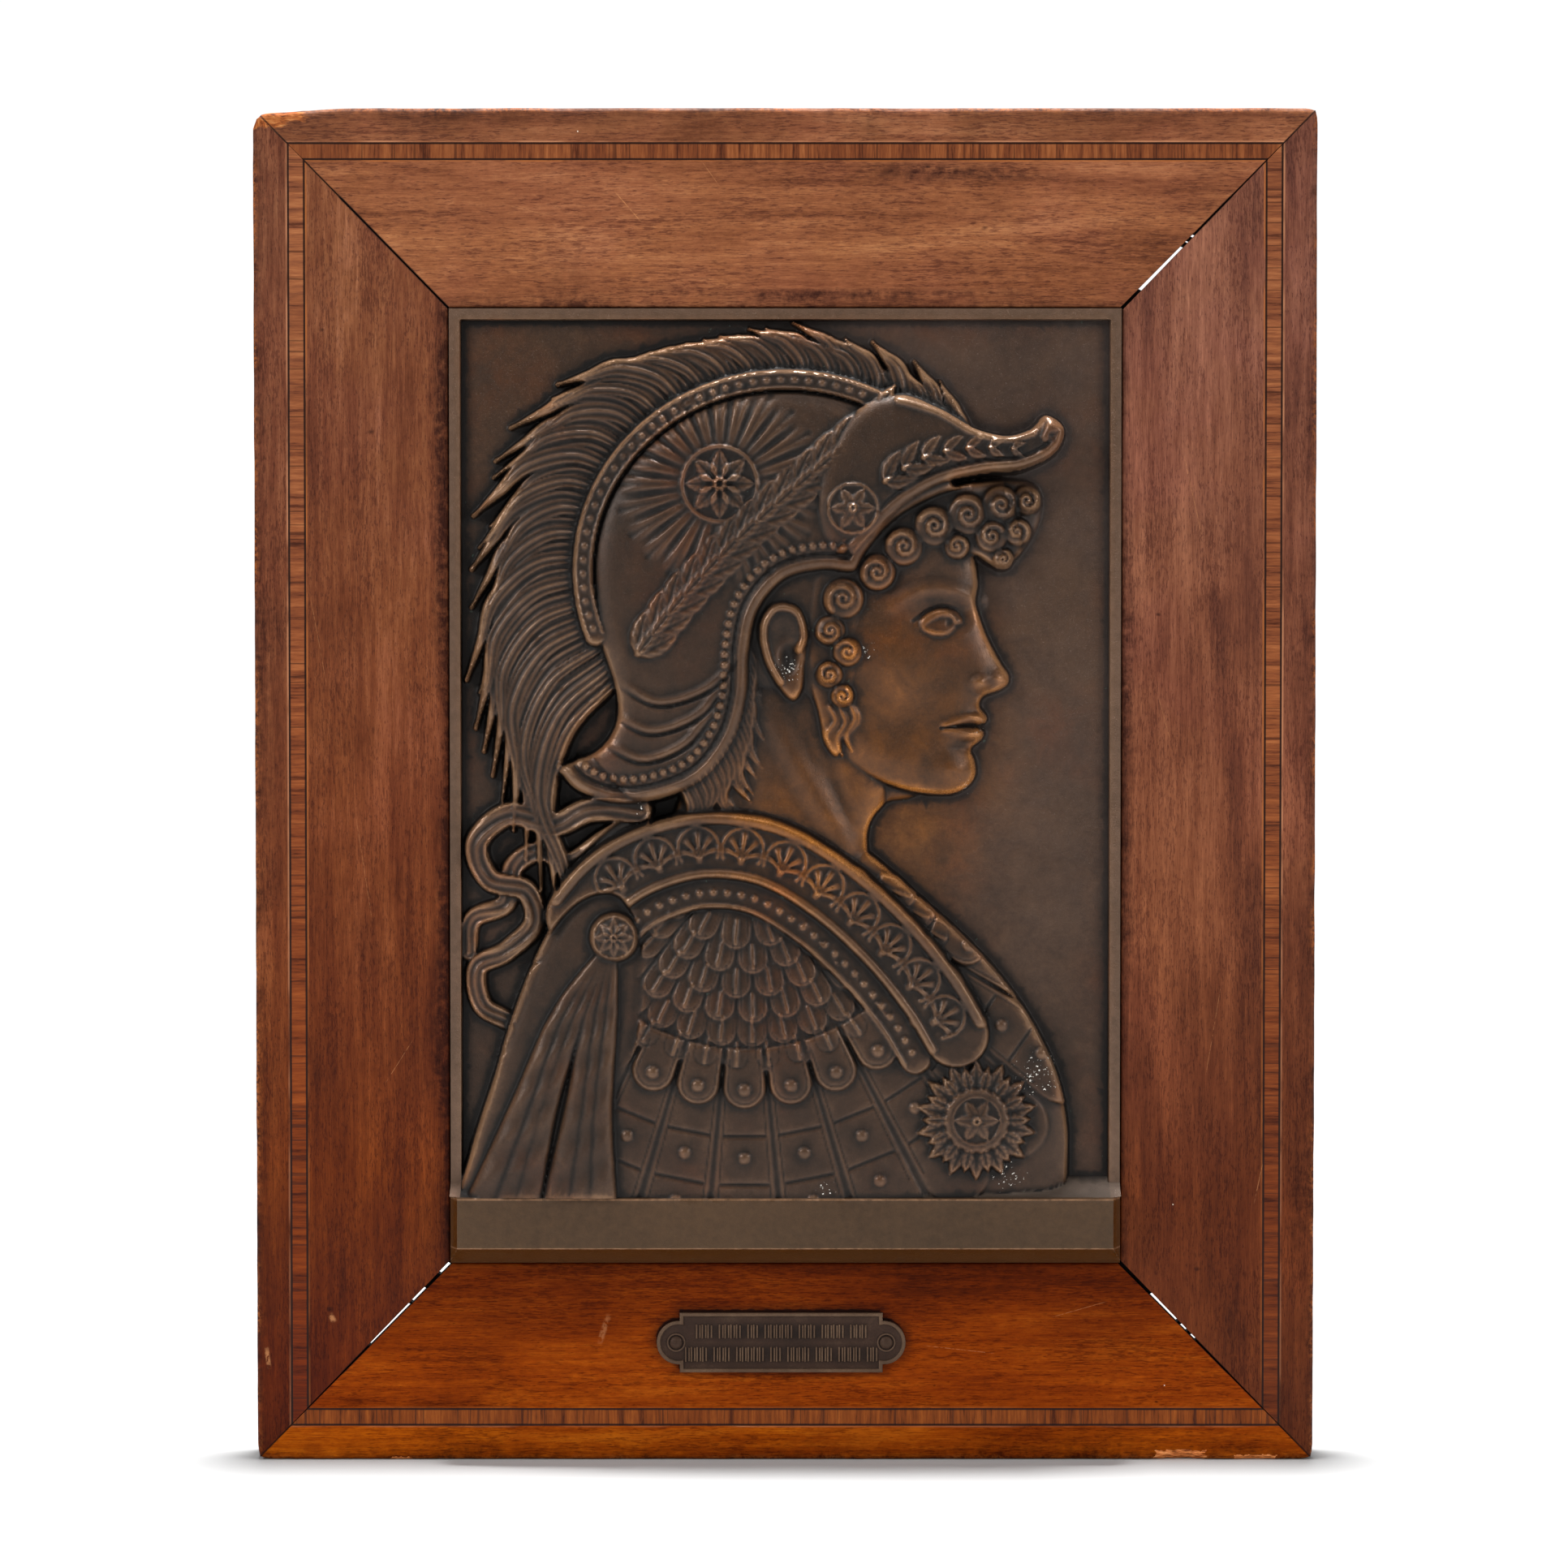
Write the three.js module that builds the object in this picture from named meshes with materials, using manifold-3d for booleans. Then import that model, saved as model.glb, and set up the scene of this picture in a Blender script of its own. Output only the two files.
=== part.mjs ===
// Relief plaque: a cast bronze relief of a helmeted youth in a mitred mahogany frame with a crossbanded
// inlay, and a small bronze nameplate pinned to the bottom board.
// Millimetres, +Z up. The front faces -Y and the flat back of the frame lies on y = 0. The origin is the
// point on the back of the top board where the plaque is held to a wall.
import * as THREE from "three";
import { mergeVertices } from "three/addons/utils/BufferGeometryUtils.js";
import Module from "manifold-3d";

// Frame
const FRAME_W = 262;
const FRAME_H = 334;
const SIDE_BOARD = 48; // width of the left and right boards
const END_BOARD = 49; // width of the top and bottom boards
const BOARD_T = 15;
const LIP_W = 6; // lip at the back of each board that the bronze rests on
const LIP_T = 5;
const ARRIS = 0.5; // worn outer edge of each board
const MITRE_SLACK = { topLeft: 0.3, topRight: 0.6, bottomRight: 0.7, bottomLeft: 0.65 }; // open inner corners
const BAND_IN = 8.5; // from the outer edge to the inlay band
const BAND_W = 4.4;
const BAND_T = 1;
const MOUNT_DOWN = END_BOARD / 2; // from the frame's top edge to the wall mount

// Bronze, measured in its own plane: x from its middle, z from its bottom edge, heights from its ground
const FIT = 0.3; // gap between the bronze and each board
const BRONZE_W = FRAME_W - 2 * SIDE_BOARD - 2 * FIT;
const BRONZE_H = FRAME_H - 2 * END_BOARD - 2 * FIT;
const GROUND_T = 8.5; // from the back of the bronze to its ground
const RIM_W = 2.6;
const RIM_H = 2.5;
const RIM_DRAFT = 0.4;
const TABLET_H = 9;
const TABLET_LOW = 4.2; // its bottom bevel ends here
const TABLET_TOP = 16.5;
const TABLET_END = 2; // width of its end bevels
const SHELF_TOP = 21.3;
const SHELF_H = 7.2;
const STEP = 0.8; // spacing of the sampled heights
const RELIEF_POINTS = 4350;
const SWAP_PASSES = 5;

// Nameplate
const PLATE_L = 50.2;
const PLATE_H = 14.8;
const PLATE_T = 1.1;
const LOBE_AT = 25.4; // middle of each round end
const LOBE_R = 5.4;
const LOBE_SIDES = 28;
const BORDER_W = 0.9;
const BORDER_H = 0.5;
const PLATE_AT = { x: -1, up: 29.4 }; // its middle, up from the frame's bottom edge
const SINK = 0.2; // how far the raised border goes into the plate
const PIN_AT = 26;
const PIN_HEAD_R = 1.6;
const PIN_HEAD_H = 0.8;
const PIN_R = 0.6;
const PIN_L = 6;
const PIN_HOLE_R = 0.95;
const PIN_SIDES = 12;

const TINY = 1e-4;

const degrees = (a) => a * Math.PI / 180;
const clamp = (v, low = 0, high = 1) => Math.min(high, Math.max(low, v));
const ease = (t) => clamp(t) ** 2 * (3 - 2 * clamp(t));
const halfRound = (q) => Math.sqrt(Math.max(0, 1 - q * q));
const bell = (q) => (q < 1 ? 0.5 + 0.5 * Math.cos(Math.PI * q) : 0);
const range = (n) => Array.from({ length: n }, (_, i) => i);
const between = (a, b, n) => range(n).map((i) => a + (b - a) * i / (n - 1));
const call = (value, ...args) => (typeof value === "function" ? value(...args) : value);

// ---- Curves in the plane of the bronze: lists of [x, z] ----

function spline(points, closed = false, per = 8) {
  const path = points.map(([x, z]) => new THREE.Vector3(x, z, 0));
  const curve = new THREE.CatmullRomCurve3(path, closed, "catmullrom", 0.5);
  const spans = closed ? points.length : points.length - 1;
  const out = curve.getPoints(spans * per).map((p) => [p.x, p.y]);
  return closed ? out.slice(0, -1) : out;
}

function arc(cx, cz, rx, rz, a0, a1, n = 24) {
  return between(degrees(a0), degrees(a1), n).map((a) => [cx + rx * Math.cos(a), cz + rz * Math.sin(a)]);
}

function headings(path) {
  return path.map((_, i) => {
    const a = path[Math.max(0, i - 1)];
    const b = path[Math.min(path.length - 1, i + 1)];
    return Math.atan2(b[1] - a[1], b[0] - a[0]);
  });
}

function offset(path, by) {
  const turn = headings(path);
  return path.map(([x, z], i) => [x - by * Math.sin(turn[i]), z + by * Math.cos(turn[i])]);
}

/** Evenly spaced places along a path: x, z and the heading in degrees. */
function walk(path, step) {
  const turn = headings(path);
  const run = [0];
  for (let i = 1; i < path.length; i += 1) {
    run.push(run[i - 1] + Math.hypot(path[i][0] - path[i - 1][0], path[i][1] - path[i - 1][1]));
  }
  const total = run.at(-1);
  const n = Math.max(1, Math.round(total / step));
  let i = 0;
  return range(n).map((k) => {
    const s = (k + 0.5) * total / n;
    while (run[i + 1] < s) i += 1;
    const f = (s - run[i]) / (run[i + 1] - run[i]);
    const bend = Math.atan2(Math.sin(turn[i + 1] - turn[i]), Math.cos(turn[i + 1] - turn[i]));
    return [
      path[i][0] + f * (path[i + 1][0] - path[i][0]),
      path[i][1] + f * (path[i + 1][1] - path[i][1]),
      (turn[i] + f * bend) * 180 / Math.PI,
    ];
  });
}

const polar = ([x, z], r, a) => [x + r * Math.cos(degrees(a)), z + r * Math.sin(degrees(a))];

// ---- Clay: the heights of the bronze's front above its ground, on a grid of x and z lines ----

class Clay {
  constructor(xs, zs) {
    this.xs = xs;
    this.zs = zs;
    this.h = new Float64Array(xs.length * zs.length);
    this.inside = null;
  }

  /** Keeps what follows inside an outline, or anywhere again with null. */
  only(outline) {
    this.inside = outline;
  }

  /** Calls each(index, x, z) for the grid points within margin of the points. */
  around(points, margin, each) {
    const low = [0, 1].map((k) => Math.min(...points.map((p) => p[k])) - margin);
    const high = [0, 1].map((k) => Math.max(...points.map((p) => p[k])) + margin);
    for (let k = 0; k < this.zs.length; k += 1) {
      const z = this.zs[k];
      if (z < low[1] || z > high[1]) continue;
      for (let i = 0; i < this.xs.length; i += 1) {
        const x = this.xs[i];
        if (x < low[0] || x > high[0]) continue;
        if (this.inside && depthInside(this.inside, x, z) < 0) continue;
        each(k * this.xs.length + i, x, z);
      }
    }
  }

  /** A solid form: its top is surface(x, z), and falls by drop over the last roll mm to its outline. */
  mass(outline, surface, roll, drop) {
    this.around(outline, 0, (at, x, z) => {
      const d = depthInside(outline, x, z);
      if (d < 0) return;
      const top = surface(x, z) - drop * (1 - halfRound(clamp(1 - d / roll)));
      this.h[at] = Math.max(this.h[at], top);
    });
  }

  /** Cuts what stands inside an outline down to surface(x, z). */
  cut(outline, surface) {
    this.around(outline, 0, (at, x, z) => {
      if (depthInside(outline, x, z) > 0) this.h[at] = Math.min(this.h[at], surface(x, z));
    });
  }

  /** A band along a path, added to what is there, or laid over it on level(x, z, t). Its half width and its
   *  height are numbers or functions of the way t along the path, from 0 to 1. */
  stroke(path, width, height, { section = halfRound, level = null } = {}) {
    const widest = Math.max(...between(0, 1, 11).map((t) => call(width, t)));
    this.around(path, widest, (at, x, z) => {
      const { distance, t } = along(path, x, z);
      const q = distance / Math.max(call(width, t), TINY);
      if (q >= 1) return;
      const top = call(height, t) * section(q);
      this.h[at] = level ? Math.max(this.h[at], level(x, z, t) + top) : this.h[at] + top;
    });
  }

  /** Rounds everything off by about one grid step. */
  soften() {
    const columns = this.xs.length;
    for (const step of [1, columns]) {
      const old = this.h.slice();
      for (let at = step; at < old.length - step; at += 1) {
        this.h[at] = 0.25 * old[at - step] + 0.5 * old[at] + 0.25 * old[at + step];
      }
    }
  }

  dome(cx, cz, rx, rz, height, { angle = 0, section = bell, level = null } = {}) {
    const [c, s] = [Math.cos(degrees(angle)), Math.sin(degrees(angle))];
    this.around([[cx, cz]], Math.max(rx, rz), (at, x, z) => {
      const u = ((x - cx) * c + (z - cz) * s) / rx;
      const v = (-(x - cx) * s + (z - cz) * c) / rz;
      const q = Math.hypot(u, v);
      if (q >= 1) return;
      const top = height * section(q);
      this.h[at] = level ? Math.max(this.h[at], level(x, z) + top) : this.h[at] + top;
    });
  }
}

/** Distance to a path, and the way t along it from 0 to 1. */
function along(path, x, z) {
  let best = Infinity;
  let where = 0;
  let run = 0;
  for (let i = 1; i < path.length; i += 1) {
    const [ax, az] = path[i - 1];
    const dx = path[i][0] - ax;
    const dz = path[i][1] - az;
    const length = Math.hypot(dx, dz);
    if (length === 0) continue;
    const f = clamp(((x - ax) * dx + (z - az) * dz) / (length * length));
    const ex = x - ax - f * dx;
    const ez = z - az - f * dz;
    const d = ex * ex + ez * ez;
    if (d < best) {
      best = d;
      where = run + f * length;
    }
    run += length;
  }
  return { distance: Math.sqrt(best), t: where / run };
}

/** How far inside a closed outline a point lies, negative outside. */
function depthInside(outline, x, z) {
  let best = Infinity;
  let inside = false;
  let [ax, az] = outline.at(-1);
  for (const [bx, bz] of outline) {
    const dx = bx - ax;
    const dz = bz - az;
    const f = clamp(((x - ax) * dx + (z - az) * dz) / (dx * dx + dz * dz || 1));
    best = Math.min(best, (x - ax - f * dx) ** 2 + (z - az - f * dz) ** 2);
    if (az > z !== bz > z && x < ax + (z - az) * dx / dz) inside = !inside;
    [ax, az] = [bx, bz];
  }
  return inside ? Math.sqrt(best) : -Math.sqrt(best);
}

// ---- Surfaces that the forms lie on ----

function swell(cx, cz, rx, rz, base, crown) {
  return (x, z) => base + crown * Math.sqrt(clamp(1 - ((x - cx) / rx) ** 2 - ((z - cz) / rz) ** 2));
}
const raised = (surface, by) => (x, z) => surface(x, z) + by;
const HEAD = swell(8, 160, 52, 70, 4, 5.2);
const BUST = swell(-5, 42, 86, 80, 2.8, 5.8);
const BOWL = swell(0, 166, 60, 66, 6.2, 5.2);
const NECK = (x, z) => 3.2 + 4.4 * halfRound(clamp((x + 3 - (z - 95) * 0.03) / 27, -1, 1));

const fade = (h) => (t) => h * Math.sin(Math.PI * clamp(t)) ** 0.8;

/** Half width of a pointed leaf. */
function leafWidth(w) {
  return (t) => {
    const rise = 0.35 + 0.65 * Math.sin(0.5 * Math.PI * clamp(t / 0.4));
    const fall = Math.cos(0.5 * Math.PI * clamp((t - 0.4) / 0.6)) ** 0.8;
    return w * Math.max(t < 0.4 ? rise : fall, 0.12);
  };
}

// ---- Ornament ----

function leaf(clay, root, angle, length, width, height, bend = 0, level = null) {
  const [fx, fz] = [Math.cos(degrees(angle)), Math.sin(degrees(angle))];
  const path = between(0, 1, 9).map((s) => [
    root[0] + fx * length * s - fz * bend * length * s * s,
    root[1] + fz * length * s + fx * bend * length * s * s,
  ]);
  clay.stroke(path, leafWidth(width), (t) => height * (1 - 0.35 * t), { level });
}

function rosette(clay, cx, cz, r, petals, height) {
  for (const i of range(petals)) {
    const a = 360 * i / petals;
    leaf(clay, polar([cx, cz], 0.18 * r, a), a, r * 0.85, r * 0.3, height);
  }
  clay.dome(cx, cz, r * 0.24, r * 0.24, height * 1.1, { section: halfRound });
  clay.stroke(arc(cx, cz, r * 1.12, r * 1.12, 0, 360, 36), r * 0.08, height * 0.6);
}

/** A lock of hair: a tapering round band. */
function lock(clay, path, width, height, level) {
  const swell = (t) => (1 - t ** 2.2) * (0.6 + 0.4 * Math.sin(Math.PI * clamp(t * 1.6) / 2));
  clay.stroke(path, (t) => width * Math.max(swell(t), 0.2), (t) => height * (1 - 0.55 * t), { level });
}

// ---- The figure, from the ground up ----

const FACE_FRONT = 47; // x of the face's upright
const CHIN = 117; // z of the chin's underside
const THIRD = 23; // a third of the face, from chin to nose, nose to brow and brow to hairline
const onFace = (points) => points.map(([u, v]) => [FACE_FRONT + u * THIRD, CHIN + v * THIRD]);

const SHOULDER = [-10, 104]; // the scales and straps hang in rays from here
const BUST_LINE = spline([
  [-24, 108], [-40, 103], [-52, 92], [-61, 77], [-69, 56], [-74, 34], [-77, 16], [-40, 12], [0, 12], [40, 12],
  [66, 14], [70, 28], [68, 44], [62, 58], [54, 70], [45, 80], [35, 89], [25, 98], [16, 104], [0, 108],
], true);
const CLOAK_LINE = spline([
  [-41, 91], [-50, 90], [-59, 80], [-66, 64], [-72, 46], [-78, 27], [-79.5, 14], [-60, 11], [-46, 11],
  [-41, 24], [-41, 40], [-37, 54], [-35, 68], [-36, 82],
], true);
const HELMET_RIM = spline([
  [-56, 121.5], [-51, 116.6], [-42, 113.6], [-31, 114.6], [-20, 119.5], [-12.5, 129], [-9.2, 140],
  [-8.6, 151], [-6.4, 161], [0, 168.5], [9, 170.8], [17, 170.5], [20.5, 176], [27, 183.2], [36, 188.5],
  [46, 191.8],
]);

function ribbons(clay) {
  const band = (points, width, from, to) => {
    const level = (x, z, t) => from + (to - from) * t;
    clay.stroke(spline(points), (t) => width * (1 - 0.25 * t), 0.6, { level });
  };
  band([[-36, 112], [-48, 112], [-57, 108.5], [-68, 111], [-76, 104], [-73, 95], [-64, 92], [-62, 84],
    [-69, 77], [-76, 73], [-75, 64], [-69, 60]], 3.4, 5, 1.8);
  band([[-36, 110], [-45, 104], [-53, 99], [-60, 102], [-67, 98], [-69, 89], [-77, 85],
    [-78.5, 77]], 3, 4.6, 1.4);
}

const CREST = arc(0, 171, 49.5, 46.5, 33, 200, 60);
const CREST_ROOM = { left: 77, top: 229 }; // how far the plume reaches

function plume(clay) {
  for (const [i, a] of between(214, 36, 28).entries()) {
    const out = polar([0, 0], 1, a);
    const base = [49 * out[0], 171 + 46 * out[1]];
    const long = ease((a - 165) / 45);
    const reach = Math.min(
      10 + 12 * ease((a - 60) / 80) + 2 * Math.sin(i * 2.4) + 22 * long,
      out[0] < -0.3 ? (CREST_ROOM.left + base[0]) / -out[0] : Infinity,
      out[1] > 0.3 ? (CREST_ROOM.top - base[1]) / out[1] : Infinity,
    );
    const at = (f, g) => [
      base[0] + reach * (out[0] * f - out[1] * g),
      base[1] + reach * (out[1] * f + out[0] * g),
    ];
    const tip = [1.03 + 0.17 * long, 1.05 + 0.2 * long];
    const path = spline([at(0, 0), at(0.45, 0.1), at(0.8, 0.45), at(0.88, 0.8 + 0.1 * long), at(...tip)]);
    lock(clay, path, 4.6, 2.2, () => 3.6 + 0.9 * (i % 2));
  }
  clay.stroke(CREST, 2.7, 1, { section: () => 1, level: () => 8 });
}

function neck(clay) {
  clay.mass(spline([[-26, 150], [-26, 130], [-26, 116], [-31, 102], [-30, 88], [8, 80], [30, 80], [23.5, 94],
    [20.5, 102], [21, 108.5], [25, 113.5], [34, 119], [24, 150]], true), NECK, 7, 3.2);
  clay.stroke(spline([[-6, 141], [2, 125], [10, 111], [17, 97]]), 5, fade(1.1), { section: bell });
  clay.stroke(spline([[9, 130], [13, 117], [18, 106]]), 3.4, fade(-0.6), { section: bell });
  clay.stroke(spline([[-14, 132], [-10, 116], [-12, 98]]), 5.5, fade(-0.6), { section: bell });
}

function face(clay) {
  clay.mass(spline(onFace([
    [-0.3, 3.25], [-0.13, 2.95], [-0.035, 2.6], [0.02, 2.22], [-0.005, 2.02], [0.03, 1.88], [0.13, 1.62],
    [0.27, 1.36], [0.355, 1.23], [0.345, 1.13], [0.25, 1.06], [0.09, 1], [0.045, 0.9], [0.115, 0.79],
    [0.105, 0.725], [0.035, 0.68], [0.085, 0.61], [0.055, 0.53], [-0.045, 0.43], [-0.005, 0.3],
    [-0.005, 0.14], [-0.1, 0.02], [-0.28, -0.05], [-0.62, -0.03], [-1.05, 0.1], [-1.42, 0.33],
    [-1.68, 0.68], [-1.86, 1],
    [-2.45, 1.1], [-2.8, 1.7], [-2.8, 2.4], [-2.2, 3.3], [-1.2, 3.7],
  ]), true), HEAD, 7.5, 3.3);
  const hollow = (u, v, ru, rv, height, angle = 0, section = bell) => {
    const [[x, z]] = onFace([[u, v]]);
    clay.dome(x, z, ru * THIRD, rv * THIRD, height, { angle, section });
  };
  const line = (points, width, height, section = bell) => {
    clay.stroke(spline(onFace(points)), width, height, { section });
  };
  hollow(-1.05, 2.3, 0.5, 0.42, -0.8); // temple
  hollow(-0.5, 2.55, 0.45, 0.42, 0.5); // forehead
  hollow(-0.88, 1.38, 0.7, 0.5, 1, -20); // cheekbone
  hollow(-0.8, 0.72, 0.6, 0.42, -0.5); // cheek
  hollow(-0.22, 0.2, 0.36, 0.27, 0.9); // chin
  hollow(-0.12, 0.47, 0.26, 0.11, -0.7);
  hollow(-0.4, 1.86, 0.44, 0.29, -1.4); // eye socket
  hollow(-0.15, 1.88, 0.2, 0.22, -0.8);
  const brow = [[0.02, 2.02], [-0.2, 2.12], [-0.45, 2.16], [-0.74, 2.09], [-1.02, 1.9]];
  line(brow, 3.2, (t) => 0.9 * (1 - t ** 3));
  hollow(-0.41, 1.79, 0.2, 0.155, 1.4, 0, halfRound); // eyeball
  line([[-0.21, 1.79], [-0.27, 1.875], [-0.39, 1.91], [-0.51, 1.87], [-0.66, 1.77]], 1, 0.85, halfRound);
  line([[-0.23, 1.72], [-0.34, 1.675], [-0.47, 1.685], [-0.62, 1.765]], 0.8, fade(0.6), halfRound);
  hollow(0.26, 1.19, 0.15, 0.15, 0.7); // nose
  hollow(0.045, 1.14, 0.165, 0.145, 1.6);
  // the lips
  line([[0.07, 0.745], [-0.06, 0.775], [-0.2, 0.745], [-0.34, 0.69]], 1.7, (t) => 0.95 * (1 - 0.6 * t));
  line([[0.05, 0.605], [-0.08, 0.595], [-0.2, 0.615], [-0.33, 0.665]], 2, (t) => 1.1 * (1 - 0.6 * t));
  line([[0.09, 0.675], [-0.08, 0.692], [-0.22, 0.682], [-0.38, 0.665]], 0.6, -1);
}

function ear(clay) {
  clay.mass(spline(onFace([
    [-1.83, 1.35], [-1.8, 1.7], [-1.92, 1.98], [-2.18, 2], [-2.34, 1.75], [-2.28, 1.38],
    [-2.1, 1.08], [-1.96, 0.96], [-1.86, 1.08]]), true), raised(HEAD, 1.4), 2.2, 1.6);
  for (const [u, v, ru, rv, height] of [[-2.06, 1.62, 0.2, 0.3, -0.9], [-2, 1.4, 0.15, 0.22, -2.2]]) {
    const [[x, z]] = onFace([[u, v]]);
    clay.dome(x, z, ru * THIRD, rv * THIRD, height);
  }
  const helix = onFace([[-1.9, 1.5], [-1.84, 1.66], [-1.92, 1.9], [-2.14, 1.94], [-2.27, 1.74], [-2.23, 1.42],
    [-2.1, 1.16]]);
  clay.stroke(spline(helix), 1.1, 1.1);
}

function cuirass(clay) {
  clay.mass(BUST_LINE, BUST, 8, 3.4);
}

/** A strip between two radii from the shoulder, with a round lower end. */
function strip(a, r0, r1, w0, w1) {
  const f = polar([0, 0], 1, a);
  const at = (r, w) => [SHOULDER[0] + r * f[0] - w * f[1], SHOULDER[1] + r * f[1] + w * f[0]];
  const end = between(0, 180, 9).map((b) => at(r1 + w1 * Math.sin(degrees(b)), w1 * Math.cos(degrees(b))));
  return [at(r0, w0), ...end, at(r0, -w0)];
}

const STRAPS = 15;
const FAN = { from: -172, sweep: 164 };

function straps(clay) {
  const half = degrees(FAN.sweep / STRAPS) / 2;
  for (const i of range(STRAPS)) {
    const a = FAN.from + FAN.sweep * (i + 0.5) / STRAPS;
    clay.mass(strip(a, 52, 96, 52 * half, 96 * half * 0.94), raised(BUST, 0.5), 1.6, 1.3);
    clay.mass(strip(a, 50, 60, 50 * half * 0.95, 60 * half * 0.9), raised(BUST, 1.9), 1.6, 1.2);
    clay.dome(...polar(SHOULDER, 60.5, a), 1.9, 1.9, 1, { section: halfRound });
  }
}

const SCALE_ROWS = [16, 22, 28, 34, 40, 46]; // radii of their roots

function scales(clay) {
  for (const [row, r] of SCALE_ROWS.entries()) {
    const n = Math.round(degrees(150) * (r + 4) / 7.4);
    for (const i of range(n)) {
      const a = -165 + 150 * (i + 0.5 + (row % 2 ? 0.25 : -0.25)) / n;
      const [rx, rz] = polar(SHOULDER, r, a);
      const [fx, fz] = polar([0, 0], 1, a);
      const top = (x, z) => BUST(x, z) + 0.16 * ((x - rx) * fx + (z - rz) * fz);
      clay.mass(strip(a, r, r + 6.4, 3.5, 3.9), top, 1.6, 0.9);
    }
  }
}

const COLLAR = spline([
  [-51, 86], [-44, 94], [-34, 100], [-20, 103.5], [-4, 101.5], [11, 93], [25, 80.5], [36, 67], [42, 57],
]);

function collar(clay) {
  const band = (path, width, lift) => clay.stroke(path, width, 0, { level: raised(BUST, lift) });
  band(offset(COLLAR, -11.6), 3.8, 1.6);
  clay.stroke(offset(COLLAR, -14.8), 0.9, 0.8);
  band(COLLAR, 8, 2.8);
  for (const [x, z, a] of walk(COLLAR.slice(6), 10.6)) clay.dome(x, z, 4, 4.6, 1.2, { angle: a });
  clay.stroke(offset(COLLAR, 6.9), 1.9, 1.5);
  clay.stroke(offset(COLLAR, -6.9), 1.4, 1.1);
}

function cloak(clay) {
  clay.cut(CLOAK_LINE, raised(BUST, 0.6));
  clay.mass(CLOAK_LINE, raised(BUST, 0.8), 3.5, 2);
  const pin = [-42, 81];
  const folds = 6;
  for (const i of range(folds)) {
    const k = i / (folds - 1);
    const end = [-75.5 + 31 * k, 15];
    const length = Math.hypot(end[0] - pin[0], end[1] - pin[1]);
    const side = [-(end[1] - pin[1]) / length, (end[0] - pin[0]) / length];
    const sway = 2.4 * Math.sin(2.2 * i + 0.6);
    const at = (f, g) => [0, 1].map((axis) => pin[axis] + (end[axis] - pin[axis]) * f + side[axis] * g);
    const bend = [pin, at(0.3, -3.6 + 3.4 * k), at(0.64, 0.7 * sway - 2.4 + 2 * k), at(1, 0.5 * sway)];
    const path = spline(bend);
    clay.stroke(path, (t) => 1 + 3.3 * t, (t) => 1.4 + 1.5 * ease(t * 1.4), { level: raised(BUST, 0.6) });
  }
  clay.dome(...pin, 6.2, 6.2, 2.2, { section: halfRound, level: raised(BUST, 1.8) });
  rosette(clay, ...pin, 4.6, 8, 0.9);
}

const ROUNDEL = { x: 47, z: 36, r: 14 };

/** A round boss on the breast, ringed with leaves. */
function roundel(clay) {
  const { x, z, r } = ROUNDEL;
  const on = raised(BUST, 1);
  clay.mass(arc(x, z, r * 0.8, r * 0.8, 0, 348, 30), raised(BUST, 1.2), 2.5, 1.4);
  for (const i of range(14)) {
    const a = 360 * (i + 0.5) / 14;
    leaf(clay, polar([x, z], r * 0.5, a), a, r * 0.56, r * 0.15, 1.7, 0, on);
  }
  for (const i of range(14)) {
    const a = 360 * i / 14;
    leaf(clay, polar([x, z], r * 0.5, a), a, r * 0.44, r * 0.13, 1.7, 0, raised(BUST, 1.5));
  }
  clay.dome(x, z, r * 0.55, r * 0.55, 1.3, { section: halfRound, level: raised(BUST, 2.4) });
  clay.stroke(arc(x, z, r * 0.52, r * 0.52, 0, 360, 36), r * 0.07, 0.8);
  rosette(clay, x, z, r * 0.38, 6, 1.1);
}

// Ringlets: the middle and radius of each
const CURLS = [
  [14.2, 164, 4.8], [11, 156.2, 3.6], [15.2, 151, 3.5], [10.8, 145.4, 3.2], [14, 140.2, 2.8],
  [22.5, 170.5, 4.3], [29, 176.8, 4.5], [36.5, 181.8, 4.7], [44.8, 184.6, 4.9], [53, 187, 4.6],
  [59.4, 188.2, 3.5], [50.6, 179.4, 3.9], [57, 180.6, 3.4], [42, 176.8, 3], [53.5, 173.8, 2.5],
];

function hair(clay) {
  // the short locks under the helmet at the nape
  for (const [i, [x, z, a]] of walk(HELMET_RIM.slice(28, 60), 3).entries()) {
    const root = polar([x, z], 3, a + 90);
    const swing = 1.5 * Math.sin(1.9 * i);
    const bend = [[0, 0], [3, -6], [2.4 + swing, -11], [6 + swing, -16]];
    const path = spline(bend.map(([u, v]) => [root[0] + u, root[1] + v]));
    lock(clay, path, 2.4, 1.4, (u, v, t) => NECK(u, v) + 1.4 - 1.8 * t);
  }
  // the fringe under the visor and the side hair, each a soft mass with ringlets on it
  const fringe = spline([[14, 172], [19, 166.4], [26, 169], [33, 173.6], [40, 176], [47, 174.4], [53, 171.4],
    [58.5, 175.5], [62.5, 182], [63.5, 189], [60, 193], [48, 193], [36, 190], [26, 184], [18, 178]], true);
  const frontFall = (x) => 2.4 * Math.max(0, (x - 44) / 16);
  clay.mass(fringe, (x, z) => HEAD(x, z) + 0.2 - frontFall(x), 2.4, 1.6);
  const side = spline([[8, 172], [18, 172], [19.6, 163], [18, 155], [18.6, 148], [16.8, 141], [15, 133],
    [13, 125.5], [9.6, 128.5], [8, 136], [5.4, 146], [5, 158]], true);
  clay.mass(side, raised(HEAD, 0.3), 2.2, 1.3);
  for (const [x, z, r] of CURLS) {
    const level = () => HEAD(x, z) + 0.6 - frontFall(x);
    clay.dome(x, z, r * 1.05, r * 1.05, 2.2, { section: halfRound, level });
    clay.dome(x, z, r * 0.4, r * 0.4, -1);
  }
}

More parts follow.
